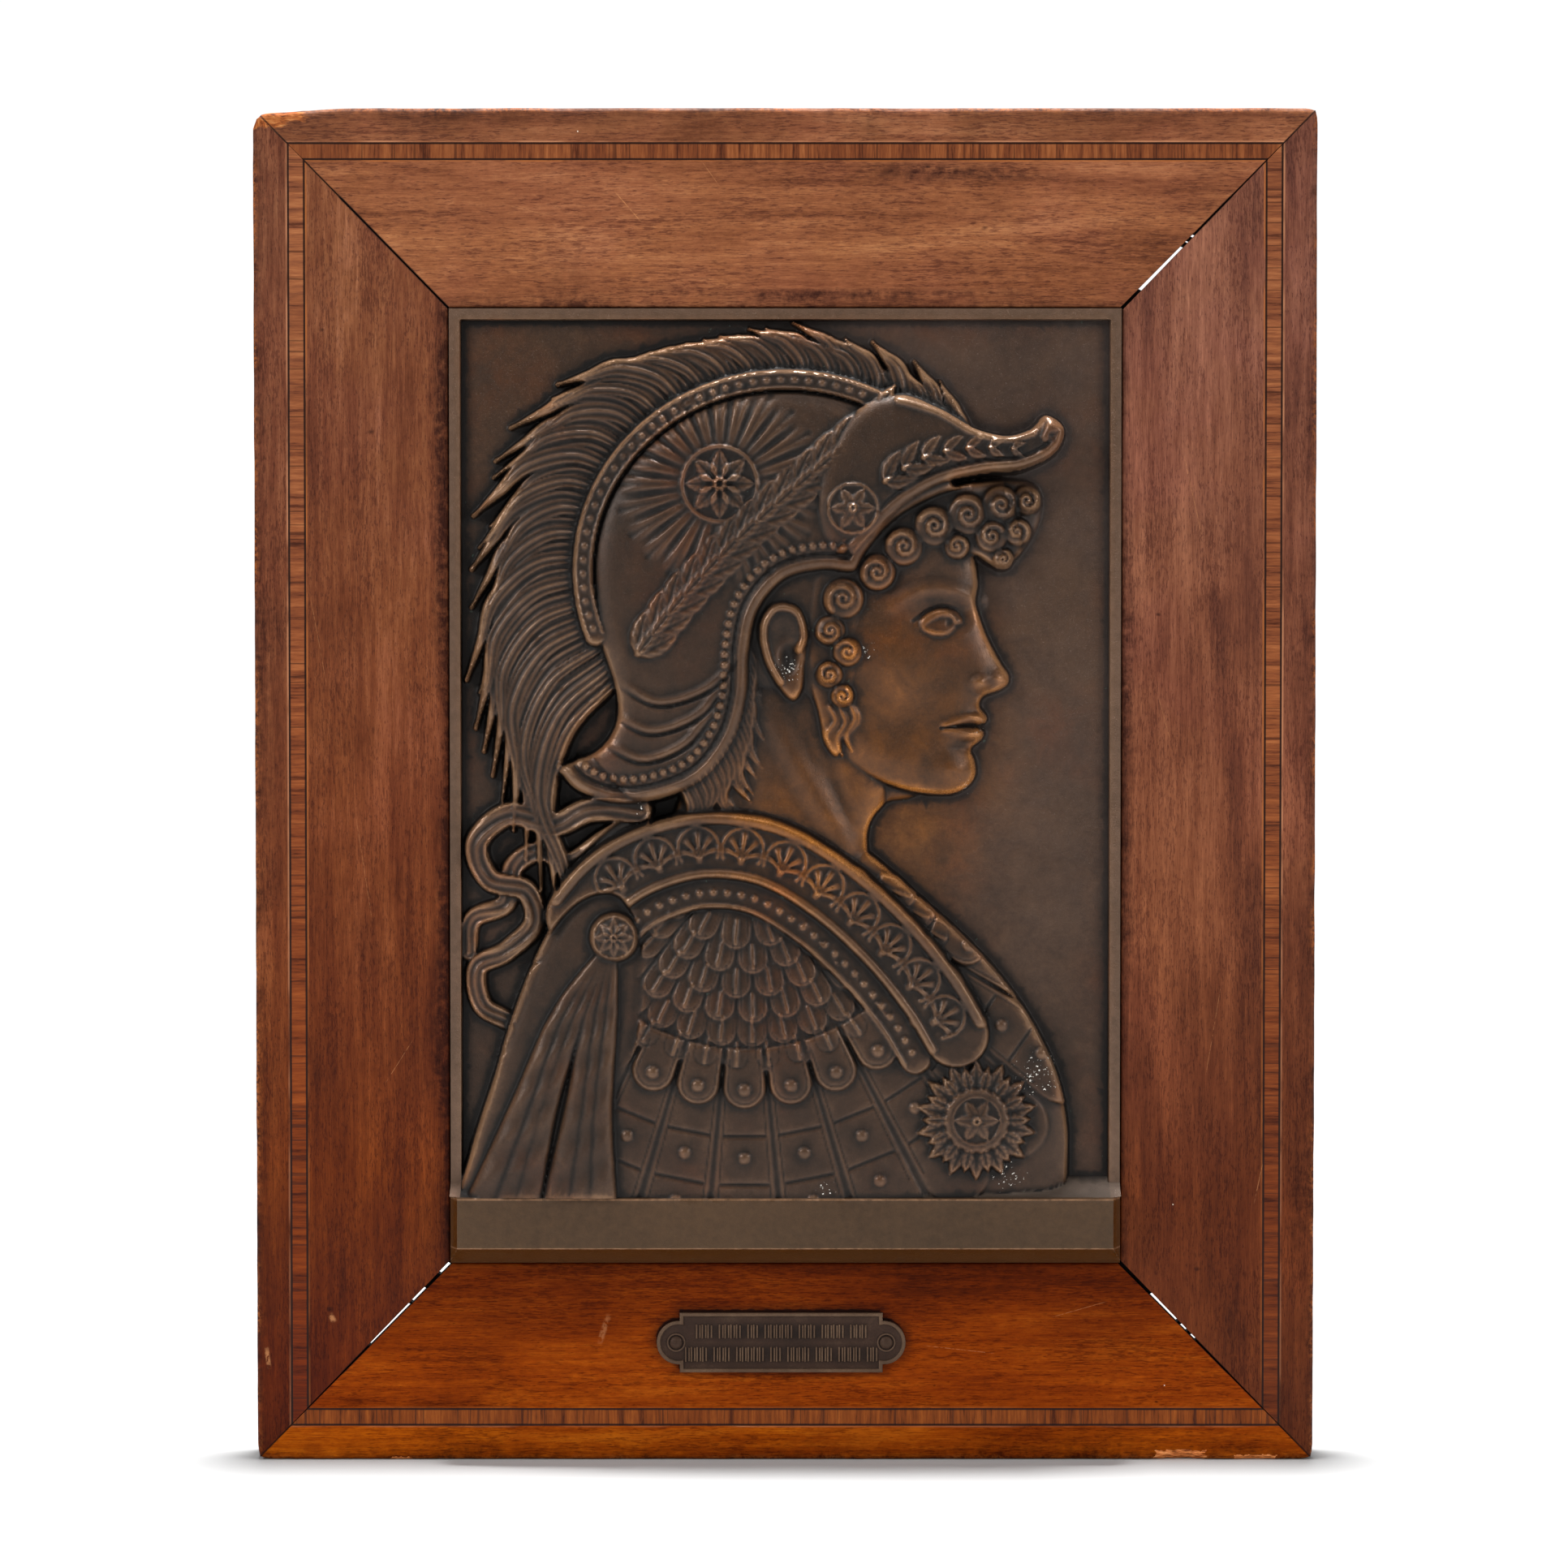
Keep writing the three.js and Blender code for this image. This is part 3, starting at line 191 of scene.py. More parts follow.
class Clay:
    def __init__(self, xs, zs):
        self.xs, self.zs = xs, zs
        self.h = np.zeros((len(zs), len(xs)))
        self.stencil = np.ones_like(self.h)

    def only(self, outline):
        """Keeps what follows inside an outline, or anywhere again with None."""
        self.stencil = np.ones_like(self.h)
        if outline is not None:
            at, _, _, d = self.depth(outline, EDGE)
            self.stencil = 0 * self.h
            self.stencil[at] = unit(d / 0.5 + 0.5)

    def window(self, low, high):
        return (slice(*np.searchsorted(self.zs, [low[1], high[1]])),
                slice(*np.searchsorted(self.xs, [low[0], high[0]])))

    def along(self, path, reach):
        """Near a path: the window, the distance, the way t along it from 0 to 1, and the side."""
        p = np.asarray(path, float)
        rows, cols = self.window(p.min(0) - reach, p.max(0) + reach)
        xs, zs = self.xs[cols], self.zs[rows]
        best = np.full((len(zs), len(xs)), np.inf)
        t, side = np.zeros_like(best), np.ones_like(best)
        seg = np.diff(p, axis=0)
        length = np.hypot(seg[:, 0], seg[:, 1])
        run = np.concatenate([[0], np.cumsum(length)])
        for (ax, az), (dx, dz), size, start in zip(p[:-1], seg, length, run):
            if size < 1e-9:
                continue
            i = slice(*np.searchsorted(xs, [min(ax, ax + dx) - reach, max(ax, ax + dx) + reach]))
            k = slice(*np.searchsorted(zs, [min(az, az + dz) - reach, max(az, az + dz) + reach]))
            px, pz = xs[None, i] - ax, zs[k, None] - az
            f = unit((px * dx + pz * dz) / (size * size))
            ex, ez = px - f * dx, pz - f * dz
            d2 = ex * ex + ez * ez
            near = d2 < best[k, i]
            best[k, i] = np.where(near, d2, best[k, i])
            t[k, i] = np.where(near, (start + f * size) / run[-1], t[k, i])
            side[k, i] = np.where(near, np.where(dx * ez - dz * ex >= 0, 1, -1), side[k, i])
        return (rows, cols), np.sqrt(best), t, side

    def depth(self, outline, reach):
        """Near an outline: the window, x, z and the depth inside it, infinite beyond reach."""
        p = np.asarray(outline, float)
        loop = np.vstack([p, p[:1]])
        at, distance, _, _ = self.along(loop, reach)
        xs, zs = self.xs[at[1]], self.zs[at[0]]
        inside = np.zeros(distance.shape, bool)
        for (ax, az), (bx, bz) in zip(loop[:-1], loop[1:]):
            if az != bz:
                rows = slice(*np.searchsorted(zs, sorted((az, bz))))
                cross = ax + (zs[rows] - az) * (bx - ax) / (bz - az)
                inside[rows] ^= xs[None, :] < cross[:, None]
        X, Z = np.meshgrid(xs, zs)
        return at, X, Z, np.where(inside, distance, -distance)

    def lay(self, at, top, cover):
        old = self.h[at]
        self.h[at] = np.maximum(old, old + (top - old) * cover * self.stencil[at])

    def mass(self, outline, surface, roll, drop):
        """A solid form: its top is surface(x, z), and falls by drop over the last roll mm to its outline."""
        at, X, Z, d = self.depth(outline, max(roll, EDGE))
        top = surface(X, Z) - drop * (1 - half_round(unit(1 - d / roll)))
        self.lay(at, top, unit(0.5 + d / EDGE))

    def cut(self, outline, surface):
        at, X, Z, d = self.depth(outline, EDGE)
        old = self.h[at]
        self.h[at] = np.minimum(old, old + (surface(X, Z) - old) * unit(0.5 + d / EDGE))

    def stroke(self, path, width, height, section=half_round, level=None, groove=None, edge=EDGE):
        """A band along a path, added to what is there, or laid over it on level(x, z, t)."""
        widest = max(float(call(width, t)) for t in np.linspace(0, 1, 21))
        at, d, t, side = self.along(path, widest + edge)
        w = np.maximum(call(width, t) + 0 * t, 1e-3)
        q = d / w
        top = call(height, t) * section(q)
        if groove:
            top = top + np.where(q < 1, groove(t, side * unit(q)), 0)
        if level is None:
            self.h[at] += top * self.stencil[at]
        else:
            X, Z = np.meshgrid(self.xs[at[1]], self.zs[at[0]])
            base = level(X, Z, t) if level.__code__.co_argcount == 3 else level(X, Z)
            self.lay(at, base + top, unit((w - d) / edge + 0.5))

    def dome(self, cx, cz, rx, rz, height, angle=0, section=bell, level=None):
        a = math.radians(angle)
        r = max(rx, rz) + EDGE
        at = self.window((cx - r, cz - r), (cx + r, cz + r))
        X, Z = np.meshgrid(self.xs[at[1]], self.zs[at[0]])
        u = ((X - cx) * math.cos(a) + (Z - cz) * math.sin(a)) / rx
        v = (-(X - cx) * math.sin(a) + (Z - cz) * math.cos(a)) / rz
        q = np.hypot(u, v)
        top = height * section(q)
        if level is None:
            self.h[at] += top * self.stencil[at]
        else:
            self.lay(at, level(X, Z) + top, unit((1 - q) * min(rx, rz) / EDGE + 0.5))


# ---- Surfaces that the forms lie on ----

def swell(cx, cz, rx, rz, base, crown):
    return lambda x, z: base + crown * np.sqrt(unit(1 - ((x - cx) / rx) ** 2 - ((z - cz) / rz) ** 2))


def raised(surface, by):
    return lambda x, z: surface(x, z) + by


HEAD = swell(8, 160, 52, 70, 4, 5.2)
BUST = swell(-5, 42, 86, 80, 2.8, 5.8)
BOWL = swell(0, 166, 60, 66, 6.2, 5.2)


def NECK(x, z):
    return 3.2 + 4.4 * half_round(np.clip((x + 3 - (z - 95) * 0.03) / 27, -1, 1))


def fade(h):
    return lambda t: h * np.sin(np.pi * unit(t)) ** 0.8


def leaf_width(w):
    def width(t):
        rise = 0.35 + 0.65 * np.sin(0.5 * np.pi * unit(t / 0.4))
        fall = unit(np.cos(0.5 * np.pi * unit((t - 0.4) / 0.6))) ** 0.8
        return w * np.maximum(np.where(t < 0.4, rise, fall), 0.12)
    return width


# ---- Ornament ----

def beads(clay, path, r, step, height):
    for x, z, _ in walk(path, step):
        clay.dome(x, z, r, r, height, section=half_round)


def leaf(clay, root, angle, length, width, height, bend=0, level=None):
    fx, fz = polar((0, 0), 1, angle)
    s = np.linspace(0, 1, 9)
    path = np.stack([root[0] + fx * length * s - fz * bend * length * s * s,
                     root[1] + fz * length * s + fx * bend * length * s * s], 1)

    def veins(t, s):
        rib = -0.34 * height * np.exp(-(s / 0.2) ** 2)
        side = 0.09 * height * np.cos(2 * np.pi * (4.5 * t - 1.1 * np.abs(s))) * unit(np.abs(s) * 3)
        return rib + side
    clay.stroke(path, leaf_width(width), lambda t: height * (1 - 0.35 * t), level=level, groove=veins)


def rosette(clay, cx, cz, r, petals, height):
    for i in range(petals):
        a = 360 * i / petals
        leaf(clay, polar((cx, cz), 0.18 * r, a), a, r * 0.85, r * 0.3, height)
    clay.dome(cx, cz, r * 0.24, r * 0.24, height * 1.1, section=half_round)
    clay.stroke(arc(cx, cz, r * 1.12, r * 1.12, 0, 360, 36), r * 0.08, height * 0.6)


def lock(clay, path, width, height, level, strands):
    """A lock of hair: a tapering band with strands along it."""
    def taper(t):
        t = unit(t)
        return width * np.maximum((1 - t ** 2.2) * (0.6 + 0.4 * np.sin(np.pi * unit(t * 1.6) / 2)), 0.1)

    def groove(t, s):
        return 0.2 * height * (np.cos(strands * np.pi * s + 0.8 * np.sin(5 * t)) - 1) * (1 - 0.6 * t)
    clay.stroke(path, taper, lambda t: height * (1 - 0.55 * t), level=level, groove=groove)


def curl(clay, cx, cz, r, start, turns, level):
    """A ringlet seen end on."""
    clay.dome(cx, cz, r * 1.05, r * 1.05, 1.5, section=half_round, level=level)
    path = spiral(cx, cz, r * 0.84, r * 0.14, start, turns)

    def strand(t, s):
        return 0.22 * (np.cos(2 * np.pi * s) - 1)
    clay.stroke(path, lambda t: r * (0.25 - 0.08 * t), lambda t: 1 + 0.4 * t, groove=strand)


# ---- The figure, from the ground up ----

FACE_FRONT, CHIN, THIRD = 47, 117, 23


def on_face(points):
    return [(FACE_FRONT + u * THIRD, CHIN + v * THIRD) for u, v in points]


SHOULDER = (-10, 104)
BUST_LINE = spline([
    (-24, 108), (-40, 103), (-52, 92), (-61, 77), (-69, 56), (-74, 34), (-77, 16), (-40, 12), (0, 12),
    (40, 12), (66, 14), (70, 28), (68, 44), (62, 58), (54, 70), (45, 80), (35, 89), (25, 98), (16, 104),
    (0, 108)], True)
CLOAK_LINE = spline([
    (-41, 91), (-50, 90), (-59, 80), (-66, 64), (-72, 46), (-78, 27), (-79.5, 14), (-60, 11), (-46, 11),
    (-41, 24), (-41, 40), (-37, 54), (-35, 68), (-36, 82)], True)
HELMET_RIM = spline([
    (-56, 121.5), (-51, 116.6), (-42, 113.6), (-31, 114.6), (-20, 119.5), (-12.5, 129), (-9.2, 140),
    (-8.6, 151), (-6.4, 161), (0, 168.5), (9, 170.8), (17, 170.5), (20.5, 176), (27, 183.2), (36, 188.5),
    (46, 191.8)])


def ribbons(clay):
    def band(points, width, start, end, waves):
        def ripple(t, s):
            fold = 0.24 * np.sin(2 * np.pi * waves * t + 1.6 * np.sin(9 * t) + 1.8 * s)
            pleat = 0.26 * np.sin(2.6 * np.pi * s + 2.2 * np.sin(2 * np.pi * 2.5 * t))
            return fold + pleat + 0.25 * unit((np.abs(s) - 0.72) / 0.1)
        clay.stroke(spline(points), lambda t: width * (1 - 0.25 * t), 0, groove=ripple,
                    level=lambda x, z, t: start + (end - start) * t)
    band([(-36, 112), (-48, 112), (-57, 108.5), (-68, 111), (-76, 104), (-73, 95), (-64, 92), (-62, 84),
          (-69, 77), (-76, 73), (-75, 64), (-69, 60)], 3.2, 5.6, 2.2, 8)
    band([(-36, 110), (-45, 104), (-53, 99), (-60, 102), (-67, 98), (-69, 89), (-77, 85), (-78.5, 77)],
         3, 5, 1.6, 5)


CREST = arc(0, 171, 49.5, 46.5, 33, 200, 60)


def plume(clay):
    for i, a in enumerate(np.linspace(214, 36, 52)):
        ox, oz = polar((0, 0), 1, a)
        bx, bz = 49 * ox, 171 + 46 * oz
        long = ease((a - 165) / 45)
        room = min((77 + bx) / -ox if ox < -0.3 else 99, (229 - bz) / oz if oz > 0.3 else 99)
        reach = min(10 + 12 * ease((a - 60) / 80) + 2 * math.sin(i * 2.4) + 22 * long, room)
        steps = [(0, 0), (0.45, 0.1), (0.8, 0.45), (0.9, 0.82 + 0.1 * long),
                 (1 + 0.1 * long, 1.18 + 0.25 * long)]
        path = spline([(bx + reach * (ox * f - oz * g), bz + reach * (oz * f + ox * g)) for f, g in steps])
        lock(clay, path, 3 + 0.5 * math.sin(i * 1.7), 1.8, lambda x, z: 3.8 + 0.5 * (i % 2) + 0 * x, 3)
    clay.stroke(CREST, 2.7, 1, section=flat, level=lambda x, z: 8 + 0 * x)
    for side in (-1.9, 1.9):
        clay.stroke(offset(CREST, side), 0.5, 0.5)
    beads(clay, CREST, 1, 3.4, 0.6)


def neck(clay):
    clay.mass(spline([(-26, 150), (-26, 130), (-26, 116), (-31, 102), (-30, 88), (8, 80), (30, 80),
                      (23.5, 94), (20.5, 102), (21, 108.5), (25, 113.5), (34, 119), (24, 150)], True),
              NECK, 7, 3.2)
    clay.stroke(spline([(-6, 141), (2, 125), (10, 111), (17, 97)]), 5, fade(1.1), bell)
    clay.stroke(spline([(9, 130), (13, 117), (18, 106)]), 3.4, fade(-0.6), bell)
    clay.stroke(spline([(-14, 132), (-10, 116), (-12, 98)]), 5.5, fade(-0.6), bell)


def face(clay):
    clay.mass(spline(on_face([
        (-0.3, 3.25), (-0.13, 2.95), (-0.035, 2.6), (0.02, 2.22), (-0.005, 2.02), (0.03, 1.88), (0.13, 1.62),
        (0.27, 1.36), (0.355, 1.23), (0.345, 1.13), (0.25, 1.06), (0.09, 1), (0.045, 0.9), (0.115, 0.79),
        (0.105, 0.725), (0.035, 0.68), (0.085, 0.61), (0.055, 0.53), (-0.045, 0.43), (-0.005, 0.3),
        (-0.005, 0.14), (-0.1, 0.02), (-0.28, -0.05), (-0.62, -0.03), (-1.05, 0.1), (-1.42, 0.33),
        (-1.68, 0.68), (-1.86, 1), (-2.45, 1.1), (-2.8, 1.7), (-2.8, 2.4), (-2.2, 3.3), (-1.2, 3.7)]), True),
        HEAD, 7.5, 3.3)

    def hollow(u, v, ru, rv, height, angle=0, section=bell):
        (x, z), = on_face([(u, v)])
        clay.dome(x, z, ru * THIRD, rv * THIRD, height, angle, section)

    def line(points, width, height, section=bell):
        clay.stroke(spline(on_face(points)), width, height, section)
    hollow(-1.05, 2.3, 0.5, 0.42, -0.8)  # temple
    hollow(-0.5, 2.55, 0.45, 0.42, 0.5)  # forehead
    hollow(-0.88, 1.38, 0.7, 0.5, 1, -20)  # cheekbone
    hollow(-0.8, 0.72, 0.6, 0.42, -0.5)  # cheek
    hollow(-0.22, 0.2, 0.36, 0.27, 0.9)  # chin
    hollow(-0.12, 0.47, 0.26, 0.11, -0.7)
    hollow(-0.4, 1.86, 0.44, 0.29, -1.4)  # eye socket
    hollow(-0.15, 1.88, 0.2, 0.22, -0.8)
    line([(0.02, 2.02), (-0.2, 2.12), (-0.45, 2.16), (-0.74, 2.09), (-1.02, 1.9)], 3.2,
         lambda t: 0.9 * (1 - t ** 3))
    hollow(-0.41, 1.79, 0.2, 0.155, 1.4, 0, half_round)  # eyeball
    line([(-0.2, 1.815), (-0.26, 1.88), (-0.38, 1.9), (-0.5, 1.85), (-0.63, 1.76)], 1.2,
         lambda t: 1 - 0.75 * t * t, half_round)
    line([(-0.22, 1.93), (-0.36, 1.965), (-0.52, 1.915), (-0.68, 1.81)], 0.7, -0.4)
    line([(-0.265, 1.7), (-0.36, 1.675), (-0.48, 1.69), (-0.62, 1.745)], 0.7, fade(0.45), half_round)
    hollow(-0.295, 1.785, 0.05, 0.075, -0.45)
    hollow(0.26, 1.19, 0.15, 0.15, 0.7)  # nose
    hollow(0.045, 1.14, 0.165, 0.145, 1.6)
    line([(0.07, 0.745), (-0.06, 0.775), (-0.2, 0.745), (-0.34, 0.69)], 1.7, lambda t: 0.95 * (1 - 0.6 * t))
    line([(0.05, 0.605), (-0.08, 0.595), (-0.2, 0.615), (-0.33, 0.665)], 2, lambda t: 1.1 * (1 - 0.6 * t))
    line([(0.09, 0.675), (-0.08, 0.692), (-0.22, 0.682), (-0.38, 0.665)], 0.6, -1)


def ear(clay):
    clay.mass(spline(on_face([(-1.83, 1.35), (-1.8, 1.7), (-1.92, 1.98), (-2.18, 2), (-2.34, 1.75),
                              (-2.28, 1.38), (-2.1, 1.08), (-1.96, 0.96), (-1.86, 1.08)]), True),
              raised(HEAD, 1.4), 2.2, 1.6)
    for u, v, ru, rv, height in [(-2.06, 1.62, 0.2, 0.3, -0.9), (-2, 1.4, 0.15, 0.22, -2.2)]:
        (x, z), = on_face([(u, v)])
        clay.dome(x, z, ru * THIRD, rv * THIRD, height)
    helix = on_face([(-1.9, 1.5), (-1.84, 1.66), (-1.92, 1.9), (-2.14, 1.94), (-2.27, 1.74), (-2.23, 1.42),
                     (-2.1, 1.16)])
    clay.stroke(spline(helix), 1.1, 1.1)


def cuirass(clay):
    clay.mass(BUST_LINE, BUST, 8, 3.4)


def strip(a, r0, r1, w0, w1):
    """A strip between two radii from the shoulder, with a round lower end."""
    fx, fz = polar((0, 0), 1, a)

    def at(r, w):
        return (SHOULDER[0] + r * fx - w * fz, SHOULDER[1] + r * fz + w * fx)
    end = [at(r1 + w1 * math.sin(b), w1 * math.cos(b)) for b in np.linspace(0, math.pi, 13)]
    return np.array([at(r0, w0), *end, at(r0, -w0)])


STRAPS, FAN_FROM, FAN_SWEEP = 15, -172, 164


def straps(clay):
    half = math.radians(FAN_SWEEP / STRAPS) / 2
    for i in range(STRAPS):
        a = FAN_FROM + FAN_SWEEP * (i + 0.5) / STRAPS
        clay.mass(strip(a, 52, 96, 52 * half, 96 * half * 0.96), raised(BUST, 0.5), 1.3, 0.9)
        for side in (-1, 1):  # a stitched border along each edge
            border = [strip(a, r, r, side * r * half * 0.78, 0)[0] for r in (62, 92)]
            clay.stroke(border, 0.35, -0.35, bell)
        for r in (72, 84):
            across = [strip(a, r, r, side * r * half * 0.72, 0)[0] for side in (-1, 1)]
            clay.stroke(across, 0.6, -0.5, bell)
            clay.dome(*polar(SHOULDER, r + 5.5, a), 1.6, 1.6, 0.9, section=half_round)
        clay.mass(strip(a, 50, 60, 50 * half * 0.95, 60 * half * 0.92), raised(BUST, 1.7), 1.4, 0.9)
        rim = strip(a, 53, 60, 53 * half * 0.72, 60 * half * 0.7)
        clay.stroke(rim, 0.35, -0.35, bell)
        clay.dome(*polar(SHOULDER, 60.5, a), 1.7, 1.7, 1, section=half_round)


def scales(clay):
    for row, r in enumerate((16, 22, 28, 34, 40, 46)):
        n = round(math.radians(150) * (r + 4) / 7.4)
        for i in range(n):
            a = -165 + 150 * (i + 0.5 + (0.25 if row % 2 else -0.25)) / n
            rx, rz = polar(SHOULDER, r, a)
            fx, fz = polar((0, 0), 1, a)
            clay.mass(strip(a, r, r + 6.4, 3.5, 3.9),
                      lambda x, z: BUST(x, z) + 0.2 + 0.13 * ((x - rx) * fx + (z - rz) * fz), 1.3, 0.7)
            clay.stroke([polar(SHOULDER, r + 3, a), polar(SHOULDER, r + 8.6, a)], 0.55, 0.5)
            clay.stroke(strip(a, r + 2, r + 6.4, 2.6, 2.9), 0.3, -0.25, bell)


COLLAR = spline([(-51, 86), (-44, 94), (-34, 100), (-20, 103.5), (-4, 101.5), (11, 93), (25, 80.5), (36, 67),
                 (42, 57)])


def palmette(clay, x, z, angle, size):
    root = polar((x, z), -size * 0.42, angle)
    for k in (-2, -1, 0, 1, 2):
        reach = size * (0.95 - 0.13 * abs(k))
        path = spline([root, polar(root, reach * 0.5, angle + k * 26), polar(root, reach, angle + k * 33)])
        clay.stroke(path, lambda t: size * (0.05 + 0.07 * t), fade(0.95))
    clay.dome(*root, size * 0.13, size * 0.13, 0.7, section=half_round)


def collar(clay):
    def band(path, width, lift):
        clay.stroke(path, width, 0, level=raised(BUST, lift))
    low = offset(COLLAR, -11.6)
    band(low, 3.8, 1.6)
    clay.stroke(offset(COLLAR, -14.8), 0.8, 0.7)
    beads(clay, low, 1, 3.4, 0.8)
    band(COLLAR, 8, 2.8)
    for x, z, a in walk(COLLAR[6:], 10.6):
        palmette(clay, x, z, a + 90, 8.2)
        fx, fz = polar((0, 0), 1, a)
        arch = [(x + u * fx - v * fz, z + u * fz + v * fx) for u, v in arc(0, -0.6, 5.1, 5.4, -30, 210, 14)]
        clay.stroke(arch, 0.5, 0.6)
    clay.stroke(offset(COLLAR, 6.9), 1.9, 1.5)
    clay.stroke(offset(COLLAR, 9), 0.4, -0.4, bell)
    clay.stroke(offset(COLLAR, -6.9), 1.3, 1)


def cloak(clay):
    clay.cut(CLOAK_LINE, raised(BUST, 0.6))
    clay.mass(CLOAK_LINE, raised(BUST, 0.8), 3.5, 2)
    pin = np.array((-42, 81))
    folds = 6
    for i in range(folds):
        k = i / (folds - 1)
        way = np.array((-75.5 + 31 * k, 15)) - pin
        side = np.array((-way[1], way[0])) / np.hypot(*way)
        sway = 2.4 * math.sin(2.2 * i + 0.6)
        path = spline([pin + way * f + side * g for f, g in (
            (0, 0), (0.3, -3.6 + 3.4 * k), (0.64, sway * 0.7 - 2.4 + 2 * k), (1, 0.5 * sway))])

        def ripple(t, s):
            return 0.16 * np.sin(2 * np.pi * 7 * t + 2 * s + i) * ease(3 * t) * (1 - s * s)
        clay.stroke(path, lambda t: 1 + 3.3 * t, lambda t: 1.4 + 1.3 * ease(t * 1.4), level=raised(BUST, 0.7),
                    groove=ripple)
    clay.dome(*pin, 6.2, 6.2, 2.2, section=half_round, level=raised(BUST, 1.8))
    rosette(clay, *pin, 4.6, 8, 0.9)


def roundel(clay):
    """A round boss on the breast, ringed with leaves."""
    x, z, r = 47, 36, 14
    clay.mass(arc(x, z, r * 0.8, r * 0.8, 0, 348, 30), raised(BUST, 1.2), 2.5, 1.4)
    for i in range(14):
        a = 360 * (i + 0.5) / 14
        leaf(clay, polar((x, z), r * 0.5, a), a, r * 0.56, r * 0.15, 1.7, 0, raised(BUST, 1))
    for i in range(14):
        a = 360 * i / 14
        leaf(clay, polar((x, z), r * 0.5, a), a, r * 0.44, r * 0.13, 1.7, 0, raised(BUST, 1.5))
    clay.dome(x, z, r * 0.55, r * 0.55, 1.3, section=half_round, level=raised(BUST, 2.4))
    clay.stroke(arc(x, z, r * 0.52, r * 0.52, 0, 360, 36), r * 0.07, 0.8)
    rosette(clay, x, z, r * 0.38, 6, 1.1)


# x, z, radius, the angle where the strand starts, and its turns
RINGLETS = [
    (14.2, 164, 4.8, 220, -1.7), (11, 156.2, 3.6, 200, 1.5), (15.2, 151, 3.5, 150, -1.5),
    (10.8, 145.4, 3.2, 100, 1.4), (14, 140.2, 2.8, 60, -1.3), (22.5, 170.5, 4.3, 200, -1.6),
    (29, 176.8, 4.5, 160, -1.6), (36.5, 181.8, 4.7, 150, -1.7), (44.8, 184.6, 4.9, 120, -1.7),
    (53, 187, 4.6, 60, -1.6), (59.4, 188.2, 3.5, 40, -1.4), (50.6, 179.4, 3.9, 30, 1.5),
    (57, 180.6, 3.4, 0, 1.4), (42, 176.8, 3, 10, 1.3), (53.5, 173.8, 2.5, 60, -1.3)]


def hair(clay):
    for i, (x, z, a) in enumerate(walk(HELMET_RIM[28:60], 2.4)):
        rx, rz = polar((x, z), 3, a + 90)
        swing = 1.5 * math.sin(1.9 * i)
        path = spline([(rx, rz), (rx + 3, rz - 6), (rx + 2.4 + swing, rz - 11), (rx + 6 + swing, rz - 16)])
        lock(clay, path, 2.4, 1.4, lambda u, v, t: NECK(u, v) + 1.4 - 1.8 * t, 3)
    fringe = spline([(14, 172), (19, 166.4), (26, 169), (33, 173.6), (40, 176), (47, 174.4), (53, 171.4),
                     (58.5, 175.5), (62.5, 182), (63.5, 189), (60, 193), (48, 193), (36, 190), (26, 184),
                     (18, 178)], True)

    def fall(x):
        return 2.4 * np.maximum(0, (x - 44) / 16)
    clay.mass(fringe, lambda x, z: HEAD(x, z) + 0.2 - fall(x), 2.4, 1.6)
    side = spline([(8, 172), (18, 172), (19.6, 163), (18, 155), (18.6, 148), (16.8, 141), (15, 133),
                   (13, 125.5), (9.6, 128.5), (8, 136), (5.4, 146), (5, 158)], True)
    clay.mass(side, raised(HEAD, 0.3), 2.2, 1.3)
    for x, z, length in [(15.6, 138.6, 12), (13.2, 137.6, 12), (10.8, 137.4, 10)]:
        path = spline([(x + dx, z - length * f) for dx, f in ((0, 0), (1.6, 0.33), (-0.6, 0.66), (0.8, 1))])
        lock(clay, path, 1.7, 1.1, HEAD, 2)
    for x, z, r, start, turns in RINGLETS:
        curl(clay, x, z, r, start, turns, lambda u, v: HEAD(u, v) + 0.8 - fall(u))


def helmet(clay):
    top = arc(0, 171, 47, 44, 28, 180, 40)
    back = spline([(-47, 171), (-46, 156), (-42, 143), (-41.5, 134), (-46, 127), (-55, 123)])
    clay.mass(np.vstack([HELMET_RIM, top, back[1:]]), BOWL, 5, 2.4)
    for k in range(3):
        plate = spline([(-45 + 1.5 * k, 128 + 7.5 * k), (-35 + 2 * k, 123.5 + 7 * k),
                        (-24 + 3 * k, 127.5 + 7 * k), (-17 + 3.2 * k, 136 + 7 * k)])
        clay.stroke(plate, 0.7, fade(-0.8), bell)
        clay.stroke(offset(plate, 1.5), 1.6, fade(0.7), bell)
    clay.stroke(offset(HELMET_RIM, 1.7), 1.5, 1.1)
    clay.stroke(offset(HELMET_RIM, 4.2), 0.6, -0.7, bell)
    beads(clay, offset(HELMET_RIM, 6.2), 1.05, 2.5, 1)


def flutes(clay):
    at = (-16, 192)
    for i in range(24):
        a = 360 * i / 24
        path = [polar(at, r, a) for r in np.linspace(10.5, 25, 8)]
        clay.stroke(path, lambda t: 0.95 + 1.6 * t, lambda t: np.sin(np.pi * unit(t * 0.9 + 0.1)),
                    groove=lambda t, s: -0.35 * np.exp(-(s / 0.3) ** 2) * unit(t * 3))
    rosette(clay, *at, 8.2, 8, 1.3)


def wreath(clay):
    stem = spline([(24, 208), (12, 199), (-1, 188), (-14, 176), (-27, 162), (-38, 148)])
    for x, z, a in walk(stem, 6.4):
        for side in (1, -1):
            leaf(clay, (x, z), a + 180 + side * 36, 11, 2.5, 1.4, -0.18 * side, raised(BOWL, 0.1))
        leaf(clay, (x, z), a + 180, 10, 2.2, 1.8, 0, raised(BOWL, 0.3))


